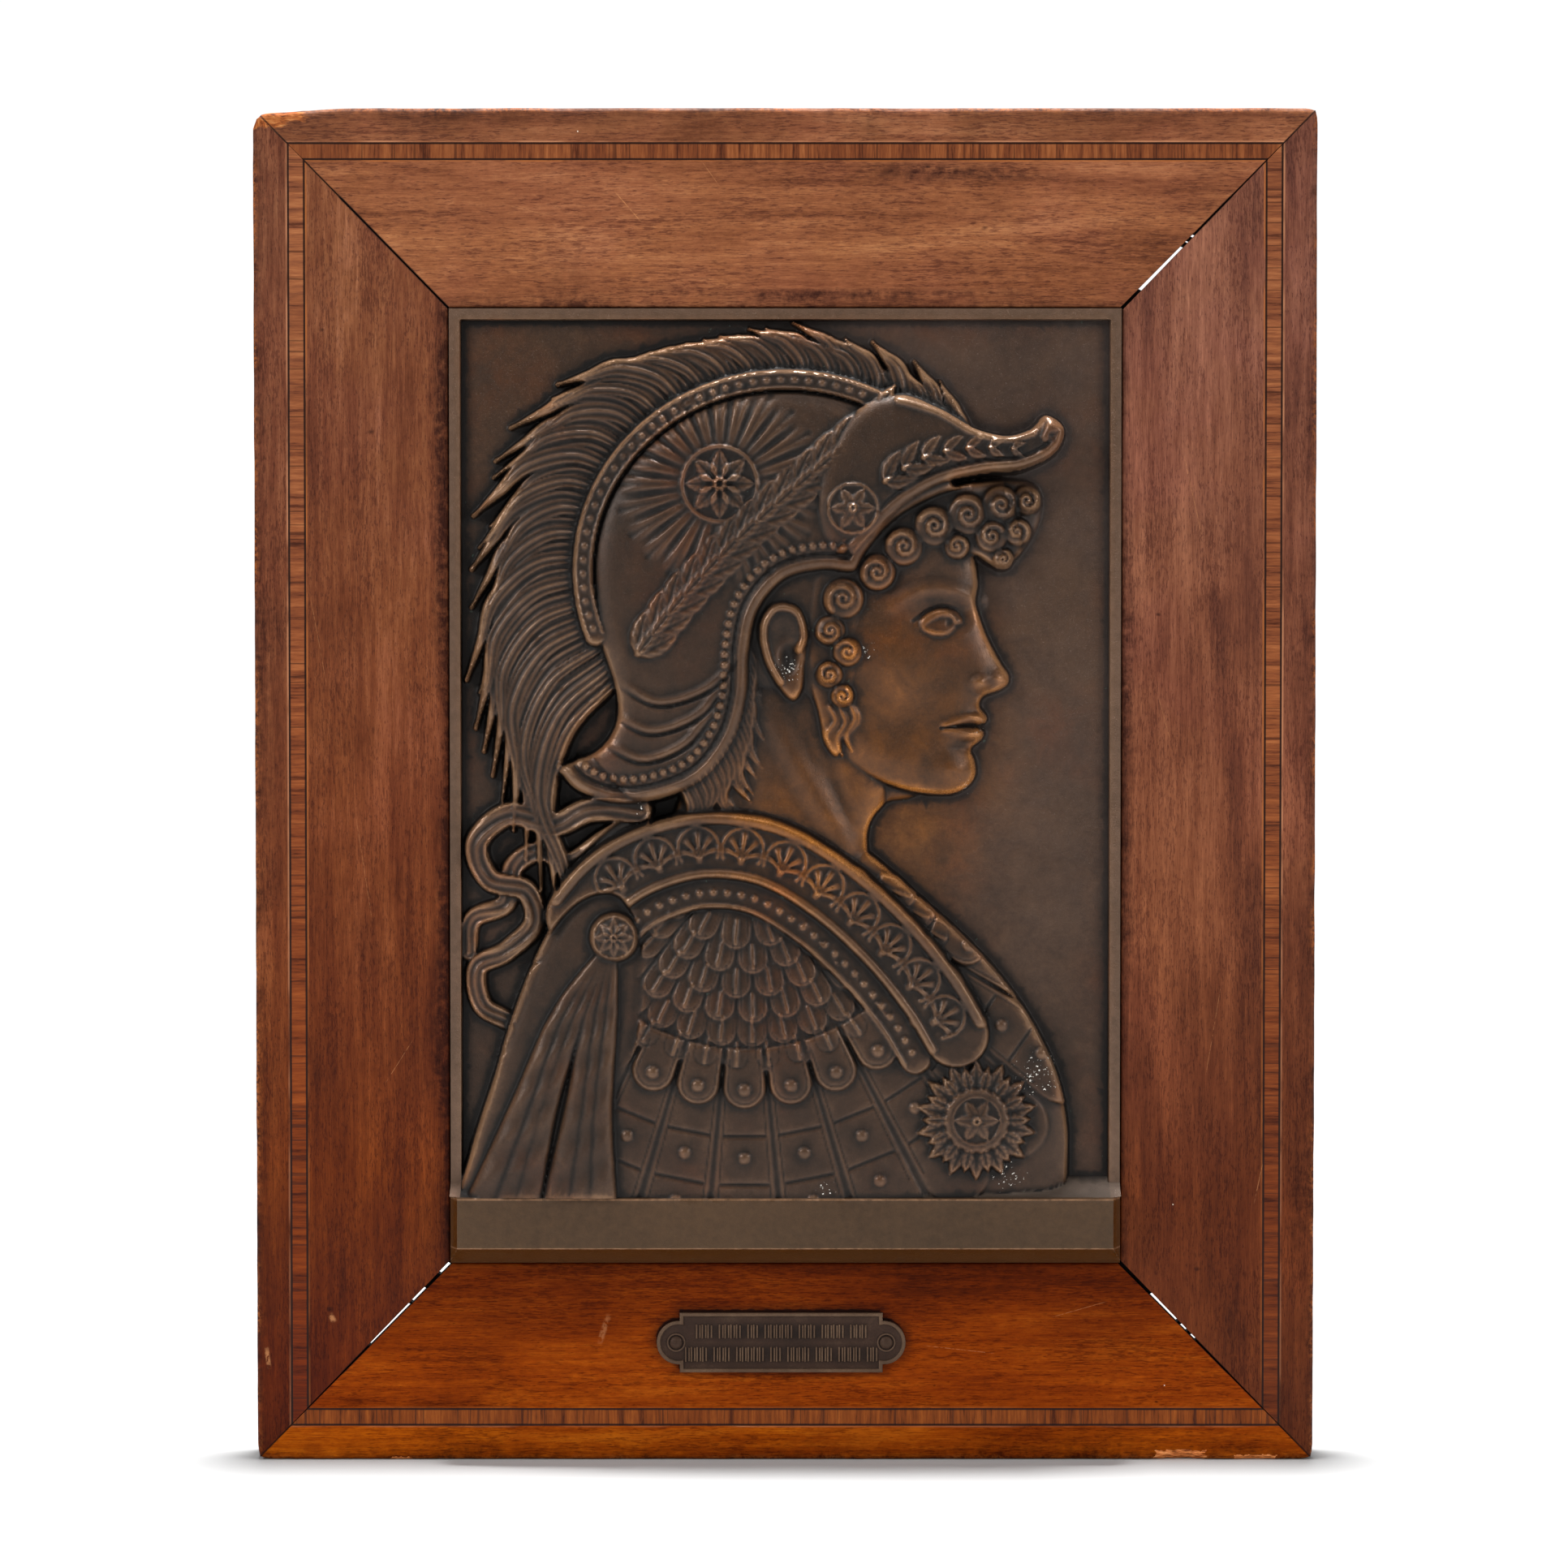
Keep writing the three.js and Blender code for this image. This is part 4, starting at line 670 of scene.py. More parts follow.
def visor(clay):
    outline = spline([(10, 178), (17, 175), (22, 180.5), (29, 187), (38, 192), (48, 194.5), (58, 195.6),
                      (66, 199.5), (68.5, 205.5), (64, 209), (60, 205.5), (54, 204), (46, 206), (38, 210.5),
                      (28, 214), (18, 210), (10, 198), (8, 188)], True)

    def top(x, z):
        return 10 + 0.03 * (48 - x) + 1.4 * half_round(np.clip((z - 196 - 0.18 * (x - 30)) / 18, -1, 1))
    clay.mass(outline, top, 3, 1.6)
    low = spline([(17, 175.4), (22, 180.5), (29, 187), (38, 192), (48, 194.5), (58, 195.6), (66, 199.5),
                  (68, 205), (64.5, 207.2), (62.6, 204)])
    clay.stroke(offset(low, 1.3), 1.4, 1.1)
    clay.stroke(offset(low, 3.3), 0.4, -0.5, bell)
    high = spline([(60, 205.6), (54, 204), (46, 206), (38, 210.5), (28, 213.6)])
    clay.stroke(offset(high, 1.2), 1.1, 0.9)
    stem = spline([(22, 191), (34, 198.5), (46, 200.8), (58, 200.4)])
    for i, (x, z, a) in enumerate(walk(stem, 5.6)):
        for side in (1, -1):
            leaf(clay, (x, z), a + 42 * side, 8.2 - 0.8 * i, 2 - 0.18 * i, 1.2, -0.25 * side)
    clay.dome(16.5, 186, 8.4, 8.4, 1.6, section=half_round, level=lambda x, z: 11.2 + 0 * x)
    rosette(clay, 16.5, 186, 5.4, 6, 1.1)


def border(clay):
    """The rim at the sides and top, the sloping shelf and the bevelled tablet below it."""
    X, Z = np.meshgrid(clay.xs, clay.zs)
    from_side = BRONZE_W / 2 - np.abs(X)
    rim = RIM_H * unit((RIM_W + RIM_DRAFT - np.minimum(from_side, BRONZE_H - Z)) / RIM_DRAFT)
    shelf = SHELF_H * unit((SHELF_TOP - Z) / (SHELF_TOP - TABLET_TOP - RIM_DRAFT))
    bevel = np.minimum(1, np.minimum(0.35 + 0.65 * Z / TABLET_LOW, 0.45 + 0.55 * from_side / TABLET_END))
    clay.h = np.where(Z <= TABLET_TOP + 1e-4, TABLET_H * bevel, np.maximum(clay.h, np.maximum(rim, shelf)))


def grid_lines(named):
    lines = [named[0]]
    for end in named[1:]:
        n = max(1, round((end - lines[-1]) / GRID))
        lines += list(np.linspace(lines[-1], end, n + 1)[1:])
    return np.array(lines)


def relief():
    wide, foot = BRONZE_W / 2, RIM_W + RIM_DRAFT
    half = [wide - foot, wide - RIM_W, wide - TABLET_END, wide]
    clay = Clay(grid_lines([-x for x in reversed(half)] + half),
                grid_lines([0, TABLET_LOW, TABLET_TOP, TABLET_TOP + RIM_DRAFT, SHELF_TOP, BRONZE_H - foot,
                            BRONZE_H - RIM_W, BRONZE_H]))
    for form in (ribbons, plume, neck, face, cuirass):
        form(clay)
    clay.only(BUST_LINE)
    straps(clay)
    scales(clay)
    clay.only(None)
    for form in (collar, cloak, roundel, ear, hair, helmet, flutes, wreath, visor):
        form(clay)
    clay.h = blurred(clay.h, 0.22)
    border(clay)
    X, Z = np.meshgrid(clay.xs, clay.zs)
    inside = unit(np.minimum(np.minimum(BRONZE_W / 2 - np.abs(X), BRONZE_H - Z), Z) / 0.6 - 0.4)
    clay.h += inside * (0.035 * noise2(X, Z, 95, 2.4) + 0.07 * np.exp(-clay.h / 3) * noise2(X, Z, 96, 16))
    room = -1000 * CAD_BOX[0][1] - LIP_T - GROUND_T - 0.02
    over = clay.h - (room - 3)
    clay.h = np.where(over > 0, room - 3 + over * 3 / max(3, over.max()), np.maximum(clay.h, -0.2))
    return clay


def sampled(clay, field, x, z):
    """The field's values between its grid lines."""
    i = np.clip(np.searchsorted(clay.xs, x) - 1, 0, len(clay.xs) - 2)
    k = np.clip(np.searchsorted(clay.zs, z) - 1, 0, len(clay.zs) - 2)
    u = unit((x - clay.xs[i]) / (clay.xs[i + 1] - clay.xs[i]))
    v = unit((z - clay.zs[k]) / (clay.zs[k + 1] - clay.zs[k]))
    low = field[k, i] * (1 - u) + field[k, i + 1] * u
    high = field[k + 1, i] * (1 - u) + field[k + 1, i + 1] * u
    return low * (1 - v) + high * v


# ---- Meshes ----

def mesh_object(name, points_mm, faces):
    mesh = bpy.data.meshes.new(name)
    mesh.from_pydata((np.asarray(points_mm, float) / 1000).tolist(), [], [tuple(map(int, f)) for f in faces])
    mesh.validate()
    made = bpy.data.objects.new(name, mesh)
    bpy.context.scene.collection.objects.link(made)
    return made


def smooth(mesh, sharp):
    mesh.polygons.foreach_set("use_smooth", [True] * len(mesh.polygons))
    mesh.set_sharp_from_angle(angle=math.radians(sharp))
    mesh.update()


def points_of(mesh):
    co = np.empty(3 * len(mesh.vertices))
    mesh.vertices.foreach_get("co", co)
    return 1000 * co.reshape(-1, 3)


def paint(mesh, name, r, g=0, b=0):
    """A colour attribute from three values a point."""
    layer = mesh.color_attributes.new(name, "FLOAT_COLOR", "POINT")
    colour = np.ones((len(mesh.vertices), 4))
    colour[:, 0], colour[:, 1], colour[:, 2] = r, g, b
    layer.data.foreach_set("color", colour.ravel())


def declare(piece, slot, *nodes):
    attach(piece, "root")
    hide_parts(*nodes)


def reduced(piece, triangles):
    """The piece with about that many triangles, the flat places thinned first."""
    count = sum(len(p.vertices) - 2 for p in piece.data.polygons)
    thin = piece.modifiers.new("thin", "DECIMATE")
    thin.ratio = triangles / count
    thin.use_collapse_triangulate = True
    settle(piece)


def settle(piece):
    """Applies the piece's modifiers."""
    done = bpy.data.meshes.new_from_object(piece.evaluated_get(bpy.context.evaluated_depsgraph_get()))
    piece.modifiers.clear()
    old, piece.data = piece.data, done
    bpy.data.meshes.remove(old)


def weigh_normals(piece):
    """Keeps flat places flat in shading beside steep ones."""
    weigh = piece.modifiers.new("weigh", "WEIGHTED_NORMAL")
    weigh.mode, weigh.weight, weigh.keep_sharp = "FACE_AREA", 50, True
    settle(piece)


def relief_piece():
    clay = relief()
    rows, cols = clay.h.shape
    X, Z = np.meshgrid(clay.xs, clay.zs)
    front = np.stack([X, -LIP_T - GROUND_T - clay.h, FOOT + Z], -1).reshape(-1, 3)
    index = np.arange(rows * cols).reshape(rows, cols)
    faces = np.stack([index[:-1, :-1], index[:-1, 1:], index[1:, 1:], index[1:, :-1]], -1)
    faces = faces.reshape(-1, 4).tolist()
    ring = np.concatenate([index[0, :-1], index[:-1, -1], index[-1, :0:-1], index[:0:-1, 0]])
    back = front[ring].copy()
    back[:, 1] = -LIP_T
    base, n = len(front), len(ring)
    for j in range(n):
        k = (j + 1) % n
        faces.append((ring[k], ring[j], base + j, base + k))
    faces.append(tuple(base + j for j in range(n)))
    piece = mesh_object("relief_bronze", np.vstack([front, back]), faces)
    reduced(piece, RELIEF_TRIANGLES)
    turn_outwards(piece, 40)
    p = points_of(piece.data)
    x, z = p[:, 0], p[:, 2] - FOOT
    fine, broad = clay.h - blurred(clay.h, 0.5), clay.h - blurred(clay.h, 1.4)
    wide = clay.h - blurred(clay.h, 5)
    behind = p[:, 1] > -LIP_T - GROUND_T + 0.1
    values = [np.where(behind, 0.5, unit(0.5 + sampled(clay, f, x, z) * gain))
              for f, gain in ((fine, 1.8), (broad, 0.4), (wide, 0.12))]
    paint(piece.data, "relief", *values)
    paint(piece.data, "patina", *patina(x, z))
    height = sampled(clay, clay.h, x, z)
    shelf = SHELF_H * unit((SHELF_TOP - z) / (SHELF_TOP - TABLET_TOP - RIM_DRAFT))
    # painted sheen on the open part of the shelf, paler towards the right
    open_shelf = ease((x + 10) / 70) * (z > TABLET_TOP) * ease((SHELF_TOP - z) / 0.8) * (height < shelf + 0.4)
    # the second value is painted sheen on the low ground, the third painted sheen on the open shelf
    paint(piece.data, "height", unit(height / 15), dusty(x, z), open_shelf)
    weigh_normals(piece)
    declare(piece, "bronze", "relief_plaque")
    return piece


def dusty(x, z):
    """Where the ground is painted paler and greyer, a painted sheen of light: down the right side and along
    the top.
    """
    right = ease((x - 30) / 30) * ease((z - 40) / 60)
    top = ease((z - 185) / 25) * ease((x + 20) / 60)
    return np.maximum(0.75 * right, top) * unit(0.85 + 0.4 * noise2(x, z, 97, 14))


def patina(x, z):
    """Where the flesh is rubbed golden, where white residue stays, and where brown dirt has gathered."""
    face = np.exp(-(((x - 26) / 26) ** 2 + ((z - 128) / 38) ** 2) ** 1.5)
    face = np.maximum(face, np.exp(-(((x - 6) / 24) ** 2 + ((z - 108) / 19) ** 2) ** 1.5))
    white = 0 * x
    for cx, cz, r in ((0.5, 147, 3.2), (47.5, 132, 1.6), (44, 118, 1.5), (62, 47, 5), (55, 22, 3.4),
                      (10, 19.5, 2), (-36, 112.5, 1.4), (20, 151, 1.6)):
        white = np.maximum(white, unit(1.4 - np.hypot(x - cx, z - cz) / r))
    edge = np.minimum(BRONZE_W / 2 - np.abs(x), BRONZE_H - z)
    dirt = np.exp(-((edge - RIM_W - 2) / 5) ** 2) * unit(0.5 + noise2(x, z, 90, 18))
    dirt = np.maximum(dirt, unit(noise2(x, z, 91, 22) * 1.6 - 0.35))
    return face, white, dirt


# ---- Boards ----

def wobble(s, seed, scale, octaves=3):
    """Smooth seeded noise along s, about -1 to 1."""
    total = 0
    for o in range(octaves):
        knots = np.random.default_rng(seed + 17 * o).uniform(-1, 1, 800)
        w = np.asarray(s) / scale * 2 ** o + 300
        i = np.floor(w).astype(int) % 799
        total = total + (knots[i] + (knots[i + 1] - knots[i]) * ease(w - np.floor(w))) / 2 ** o
    return total / 1.75


def noise2(x, z, seed, scale, octaves=4):
    """Smooth seeded noise over x, z, about -1 to 1."""
    total, size = 0, 0
    for o in range(octaves):
        knots = np.random.default_rng(seed + 31 * o).uniform(-1, 1, (256, 256))
        u, v = np.asarray(x) / scale * 2 ** o + 90, np.asarray(z) / scale * 2 ** o + 90
        i, k = np.floor(u).astype(int), np.floor(v).astype(int)
        fu, fv = ease(u - i), ease(v - k)
        i0, k0, i1, k1 = i % 256, k % 256, (i + 1) % 256, (k + 1) % 256
        low = knots[i0, k0] * (1 - fu) + knots[i1, k0] * fu
        high = knots[i0, k1] * (1 - fu) + knots[i1, k1] * fu
        total = total + (low * (1 - fv) + high * fv) / 2 ** o
        size += 1 / 2 ** o
    return total / size * 1.5


def board_section(width):
    """The board's section in u, inwards from its outer edge, and d, out from its back."""
    r, s = 1.1, 0.5
    quarter = math.pi / 2
    arris = [(r - r * math.cos(a), BOARD_T - r + r * math.sin(a)) for a in np.linspace(0, quarter, 6)]
    inner = [(width - s + s * math.sin(a), BOARD_T - s + s * math.cos(a)) for a in np.linspace(0, quarter, 4)]
    low, high = BOARD_T - BAND_T, BOARD_T
    face = [(u, high) for u in np.linspace(r + 0.8, BAND_IN, 7)]
    groove = [(BAND_IN, low), (BAND_IN + BAND_W, low)]
    rest = [(u, high) for u in np.linspace(BAND_IN + BAND_W, width - s - 0.6, 28)]
    side = [(width, d) for d in np.linspace(BOARD_T - s - 1.5, LIP_T, 4)]
    outer = [(0, d) for d in np.linspace(0, BOARD_T - r - 0.8, 8)]
    back = [(u, 0) for u in np.linspace(width + LIP_W, 0, 16)[:-1]]
    return outer + arris + face + groove + rest + inner + side + [(width + LIP_W, LIP_T)] + back


# Worn corners: side, top or bottom, how far along and how deep the end is worn down, and the same at the side
CORNERS = [(-1, TOP, 25, 2.9, 3.5, 0.9), (1, TOP, 2.5, 0.6, 2.5, 0.5), (-1, BOTTOM, 4, 0.6, 3, 0.6),
           (1, BOTTOM, 3, 0.6, 3, 0.6)]
UNDERCUT = 0.5  # of the bottom board's ends, at the back
# Chips along the bottom edge: x, half length, depth
CHIPS = [(98, 6.3, 2.3), (116.5, 5.6, 1.2), (-95, 2.8, 0.7)]


def handled(s, u, d, seed):
    """The section's points with their outer arris rounded unevenly by handling, s along the board."""
    near = np.exp(-((u / 1.6) ** 2 + ((BOARD_T - d) / 1.6) ** 2))
    wear = (0.16 + 0.2 * np.clip(wobble(s, seed, 9), -0.6, 1)) * near
    wear += 0.5 * unit(wobble(s, seed + 5, 4) - 0.72) * near
    return u + 0.7 * wear, d - 0.7 * wear


def chipped(p):
    """Takes the chips out of the bottom edge, and returns how bare each point is."""
    bare = np.zeros(len(p))
    for x, half, deep in CHIPS:
        rough = 0.25 * wobble(p[:, 0], 77, 1.3)
        reach = unit(1 - ((p[:, 0] - x) / half) ** 2 + rough) ** 0.5 * deep
        up, out = p[:, 2] - BOTTOM, p[:, 1] + BOARD_T
        bite = np.clip(reach - np.hypot(up, out) * 0.9, 0, None) * (p[:, 1] < -BOARD_T / 2)
        p[:, 2] += bite * 0.3
        p[:, 1] += bite * 0.4
        bare = np.maximum(bare, unit(bite * 2))
    return bare


def worn_corners(p, bare):
    """Wears the frame's corners down, and returns how bare each point is."""
    for sx, z, long, deep, tall, wide in CORNERS:
        ax, az = SIDE - sx * p[:, 0], np.abs(z - p[:, 2])
        down = deep * (0.45 * ease(1 - ax / long) + 0.55 * unit(1 - ax / 2.4) ** 2)
        down *= 1 + 0.12 * wobble(ax, 31, 2.5)
        across = wide * ease(1 - az / tall) * (1 + 0.18 * wobble(az, 32, 2))
        down, across = down * unit(1 - az / 8), across * unit(1 - ax / 8)
        p[:, 2] -= math.copysign(1, z) * down
        p[:, 0] -= sx * across
        if deep > 2:  # broken rather than worn
            torn = unit(1.55 - np.hypot((ax - 5) / 8.5, (az - 1.5) / 2.6) + 0.5 * noise2(ax, az, 33, 3))
            bare = np.maximum(bare, 0.75 * torn)
            p[:, 1] += 0.5 * torn * unit(noise2(ax, az, 34, 1.6) + 0.2) * (p[:, 1] < -BOARD_T + 1)
    return bare


def undercut(rows):
    """Cuts the board's ends back towards its back, so that the open joints let light through."""
    for end in (rows[0], rows[-1]):
        end[:, 0] -= np.sign(end[:, 0]) * UNDERCUT * np.clip(end[:, 1] + BOARD_T - 1.5, 0, None) / BOARD_T


def board(name, width, place, start, end, seed):
    """A board whose section is set at stations from start(u) to end(u), worn, with its mitres' old glue."""
    section = board_section(width)
    n, stations = len(section), np.linspace(0, 1, 190)
    u, d = np.array(section).T
    s = start(u)[None, :] + (end(u) - start(u))[None, :] * stations[:, None]
    p = np.stack(place(s, *handled(s, u, d, seed)), -1).reshape(-1, 3)
    chip = worn_corners(p, chipped(p) if name == "bottom" else np.zeros(len(p)))
    if name == "bottom":
        undercut(p.reshape(len(stations), n, 3))
    index = np.arange(len(p)).reshape(len(stations), n)
    nxt = np.roll(index, -1, 1)
    faces = np.stack([index[:-1], nxt[:-1], nxt[1:], index[1:]], -1).reshape(-1, 4).tolist()
    faces += [tuple(index[0][::-1]), tuple(index[-1])]
    glue = 0 * chip
    for corner in [c for c in CLOSED if c.startswith(name)]:
        more, sides = old_glue(corner)
        faces += [tuple(len(p) + j for j in f) for f in sides]
        p = np.vstack([p, more])
        chip, glue = (np.concatenate([v, np.full(len(more), w)]) for v, w in ((chip, 0), (glue, 1)))
    piece = mesh_object(f"wood_{name}", p, faces)
    turn_outwards(piece)
    stain, bare, rub = board_wear(p, name, chip)
    paint(piece.data, "wear", stain, bare, rub)
    paint(piece.data, "glue", glue)
    declare(piece, "mahogany", f"frame_board_{name}")
    return piece


def turn_outwards(piece, sharp=50):
    """Turns the faces outwards and smooths them."""
    bm = bmesh.new()
    bm.from_mesh(piece.data)
    bmesh.ops.recalc_face_normals(bm, faces=bm.faces)
    bm.to_mesh(piece.data)
    bm.free()
    smooth(piece.data, sharp)


# Stains on each board: how dark, x, z, half width, half height and seed
BLOTS = {
    "top": [(0.75, 40, 8.6, 20, 2.6, 50), (0.5, 62, 7.8, 12, 1.6, 51), (0.85, 4, -21.4, 34, 1.7, 52),
            (0.6, 48, -21, 26, 1.5, 53), (0.4, -24, -20.6, 20, 1.4, 54), (0.3, -33, 7.6, 4, 1, 55),
            (0.3, 20, 19.5, 5, 2.5, 56)],
    "left": [(0.7, -84.6, -70, 2.4, 60, 60), (0.5, -85, -190, 2.2, 60, 61), (0.3, -119, -60, 5, 16, 62)],
    "right": [(0.3, 84.5, -120, 2, 90, 63), (0.35, 127, -250, 3, 40, 64)],
    "bottom": [(0.35, -86, -262, 8, 3, 65), (0.3, 110, -306, 16, 3, 66), (0.35, -1, -288.6, 28, 1.6, 67)],
}


def blot(x, z, cx, cz, rx, rz, seed):
    q = np.hypot((x - cx) / rx, (z - cz) / rz) + 0.35 * noise2(x, z, seed, 9)
    return unit(1.5 * (1 - q))


def board_wear(p, name, chip):
    """Dark stain, bare pale wood, and rubbed edge, for each point."""
    x, z = p[:, 0], p[:, 2]
    outer = np.minimum(SIDE - np.abs(x), np.minimum(TOP - z, z - BOTTOM))
    inner = np.maximum(np.abs(x) - (SIDE - SIDE_BOARD),
                       np.maximum(z - (TOP - END_BOARD), BOTTOM + END_BOARD - z))
    grime = noise2(x, z, 3, 26)
    fine = noise2(x, z, 8, 5)
    stain = np.where(p[:, 1] < -BOARD_T + 1.5, 0.45, 0.22) * np.exp(-(outer / 2.2) ** 2) * (1 + 0.8 * fine)
    stain += 0.12 * unit(1 - outer / 9) * (1 + 0.5 * grime)
    side = {"left": 1.0, "top": 0.55, "right": 0.45, "bottom": 0.25}[name]
    stain += side * np.exp(-(inner / (2.2 + 1.2 * grime)) ** 2) * (1 + 0.6 * fine)
    stain += 0.18 * unit(grime - 0.25) * 2
    for strength, *where in BLOTS[name]:
        stain += strength * blot(x, z, *where)
    rub = np.exp(-(outer / 0.9) ** 2) * unit(0.55 + 1.1 * noise2(x, z, 12, 6)) * (p[:, 1] < -BOARD_T + 2)
    rub += 0.6 * np.exp(-(outer / 0.5) ** 2) * unit(noise2(x, z, 14, 2.2) - 0.1)
    return unit(stain), unit(chip), unit(rub)


def mitred(start, end, width, across, slack_start, slack_end):
    return (lambda u: start + u * (across + SLACK[slack_start]) / width,
            lambda u: end - u * (across + SLACK[slack_end]) / width)


# How much of each mitre is closed, from the outer corner, 0, to the inner one, 1: the rest lets light through
CLOSED = {
    "top_left": [(0.1, 0.995)], "top_right": [(0.03, 0.62), (0.637, 0.652), (0.664, 0.68), (0.9, 0.995)],
    "bottom_left": [(0.03, 0.57), (0.779, 0.788), (0.86, 0.93), (0.986, 0.995)],
    "bottom_right": [(0.03, 0.595), (0.624, 0.64), (0.676, 0.69), (0.83, 0.995)],
}


def old_glue(corner):
    """Points and faces of the dark glue that closes parts of a mitre, well below the front."""
    z_side, x_side = corner.split("_")
    sx, sz = (-1 if x_side == "left" else 1), (1 if z_side == "top" else -1)
    edge = TOP if z_side == "top" else BOTTOM
    slack = SLACK[corner]
    points, faces = [], []
    for start, end in CLOSED[corner]:
        base = len(points)
        for f in np.linspace(start, end, max(2, round(60 * (end - start)) + 1)):
            deep = 2.4 + 0.5 * wobble(f * 50, 71, 2)
            a = (sx * (SIDE - 0.5 - f * (SIDE_BOARD + slack)), edge - sz * f * END_BOARD)
            b = (sx * (SIDE - f * SIDE_BOARD), edge - sz * f * (END_BOARD + slack))
            points += [(a[0], -BOARD_T + deep, a[1]), (b[0], -BOARD_T + deep, b[1]),
                       (b[0], -BOARD_T + deep + 4, b[1]), (a[0], -BOARD_T + deep + 4, a[1])]
        n = (len(points) - base) // 4
        for k in range(n - 1):
            for j in range(4):
                m = (j + 1) % 4
                faces.append((base + 4 * k + j, base + 4 * k + m, base + 4 * k + 4 + m, base + 4 * k + 4 + j))
        faces += [tuple(base + j for j in (3, 2, 1, 0)), tuple(base + 4 * n - 4 + j for j in range(4))]
    return points, faces


def boards():
    made = {}
    for name, width, place, ends, seed in (
        ("top", END_BOARD, lambda s, u, d: (s, -d, TOP - u),
         mitred(-SIDE, SIDE, END_BOARD, SIDE_BOARD, "top_left", "top_right"), 100),
        ("bottom", END_BOARD, lambda s, u, d: (s, -d, BOTTOM + u),
         mitred(-SIDE, SIDE, END_BOARD, SIDE_BOARD, "bottom_left", "bottom_right"), 200),
        ("left", SIDE_BOARD, lambda s, u, d: (-SIDE + u, -d, s),
         mitred(BOTTOM, TOP, SIDE_BOARD, END_BOARD, "bottom_left", "top_left"), 300),
        ("right", SIDE_BOARD, lambda s, u, d: (SIDE - u, -d, s),
         mitred(BOTTOM, TOP, SIDE_BOARD, END_BOARD, "bottom_right", "top_right"), 400)):
        made[name] = board(name, width, place, *ends, seed)
    return made


# ---- Nameplate, in its own plane: x along it, y up, h out from the board ----

def cartouche(inset, n=36):
    """The plate's outline drawn in by inset, anticlockwise, always with the same number of points."""
    r = LOBE_R - inset
    wide, high = PLATE_L / 2 - inset, PLATE_H / 2 - inset
    meet = math.acos(min(1, max(-1, (wide - LOBE_AT) / r)))
    right = [(LOBE_AT + r * math.cos(a), r * math.sin(a)) for a in np.linspace(-meet, meet, n)]
    flat_top = [(x, high) for x in np.linspace(wide, -wide, n)]
    left = [(-x, -y) for x, y in right]
    flat_low = [(x, -high) for x in np.linspace(-wide, wide, n)]
    return right + flat_top + left + flat_low


def lofted(loops):
    """Points and faces of a closed form through loops of (x, y, h), capped at both ends."""
    n = len(loops[0])
    points = [q for loop in loops for q in loop]
    faces = []
    for k in range(len(loops) - 1):
        for j in range(n):
            m = (j + 1) % n
            faces.append((k * n + j, k * n + m, (k + 1) * n + m, (k + 1) * n + j))
    faces.append(tuple(reversed(range(n))))
    faces.append(tuple((len(loops) - 1) * n + j for j in range(n)))
    return points, faces


def at_height(loop, h):
    return [(x, y, h) for x, y in loop]


def circle(x, r, h, n):
    """n points round a pin's place x."""
    return [(x + r * math.cos(a), r * math.sin(a), h) for a in np.linspace(0, 2 * math.pi, n + 1)[:-1]]


def box_loop(x, y, w, t):
    return [(x - w / 2, y - t / 2), (x + w / 2, y - t / 2), (x + w / 2, y + t / 2), (x - w / 2, y + t / 2)]


STROKE_ROWS = [(2.75, 41, 3.5, (3, 4, 2, 5, 3, 4, 3)), (-2.95, 46.4, 3.7, (4, 3, 5, 2, 4, 3, 4, 2))]


def strokes():
    """Rows of slim upright strokes in groups: x, y, height."""
    out = []
    for y, length, tall, groups in STROKE_ROWS:
        units = sum(groups) + len(groups) - 1
        pitch = length / (units - 1)
        u = 0
        for count in groups:
            for _ in range(count):
                out.append((-length / 2 + u * pitch, y, tall))
                u += 1
            u += 1
    return out


def nameplate():
    top = PLATE_T + BORDER_H
    loops = [at_height(cartouche(i), h) for i, h in (
        (0, 0), (0, top - 0.2), (0.06, top - 0.06), (0.2, top), (BORDER_W - 0.2, top),
        (BORDER_W - 0.06, top - 0.08), (BORDER_W, top - 0.22), (BORDER_W + 0.06, PLATE_T + 0.05),
        (BORDER_W + 0.2, PLATE_T))]
    points, faces = lofted(loops)
    for x, y, tall in strokes():
        for dx, w, t in ((-0.42, 0.42, tall), (0.42, 0.42, tall * 0.92)):
            form = [at_height(box_loop(x + dx, y, w * k, t * m), h) for k, m, h in (
                (1, 1, PLATE_T - 0.15), (1, 1, PLATE_T + 0.16), (0.6, 0.93, PLATE_T + 0.26))]
            more, sides = lofted(form)
            base = len(points)
            points += more
            faces += [tuple(base + j for j in f) for f in sides]
    for x in (-PIN_AT, PIN_AT):  # a ring turned into the plate round each pin
        base, n = len(points), 32
        for r, up in ((2.35, -0.1), (2.3, 0.16), (2.05, 0.22), (1.85, 0.1), (1.8, -0.1)):
            points += circle(x, r, PLATE_T + up, n)
        for k in range(5):
            for j in range(n):
                m = (j + 1) % n
                a, b = base + k * n, base + ((k + 1) % 5) * n
                faces.append((a + j, a + m, b + m, b + j))
    piece = mesh_object("plate", on_board(points), faces)
    turn_outwards(piece)
    declare(piece, "nameplate_bronze", "nameplate")
    return piece


def on_board(points):
    return [(PLATE_AT[0] + x, -BOARD_T - h, BOTTOM + PLATE_AT[1] + y) for x, y, h in points]


def pin(name, x):
    profile = [(0.6, -6 + 0.9), (0.6, PLATE_T), (PIN_HEAD_R * 0.97, PLATE_T), (PIN_HEAD_R, PLATE_T + 0.1)]
    profile += [(PIN_HEAD_R * math.cos(a), PLATE_T + 0.1 + (PIN_HEAD_H - 0.1) * math.sin(a))
                for a in np.radians([15, 30, 45, 60, 75, 86])]
    points, faces = lofted([circle(x, r, h, 40) for r, h in profile])
    piece = mesh_object(name, on_board(points), faces)
    turn_outwards(piece)
    declare(piece, "nameplate_bronze", "nameplate_" + name)
    return piece


# ---- Materials ----

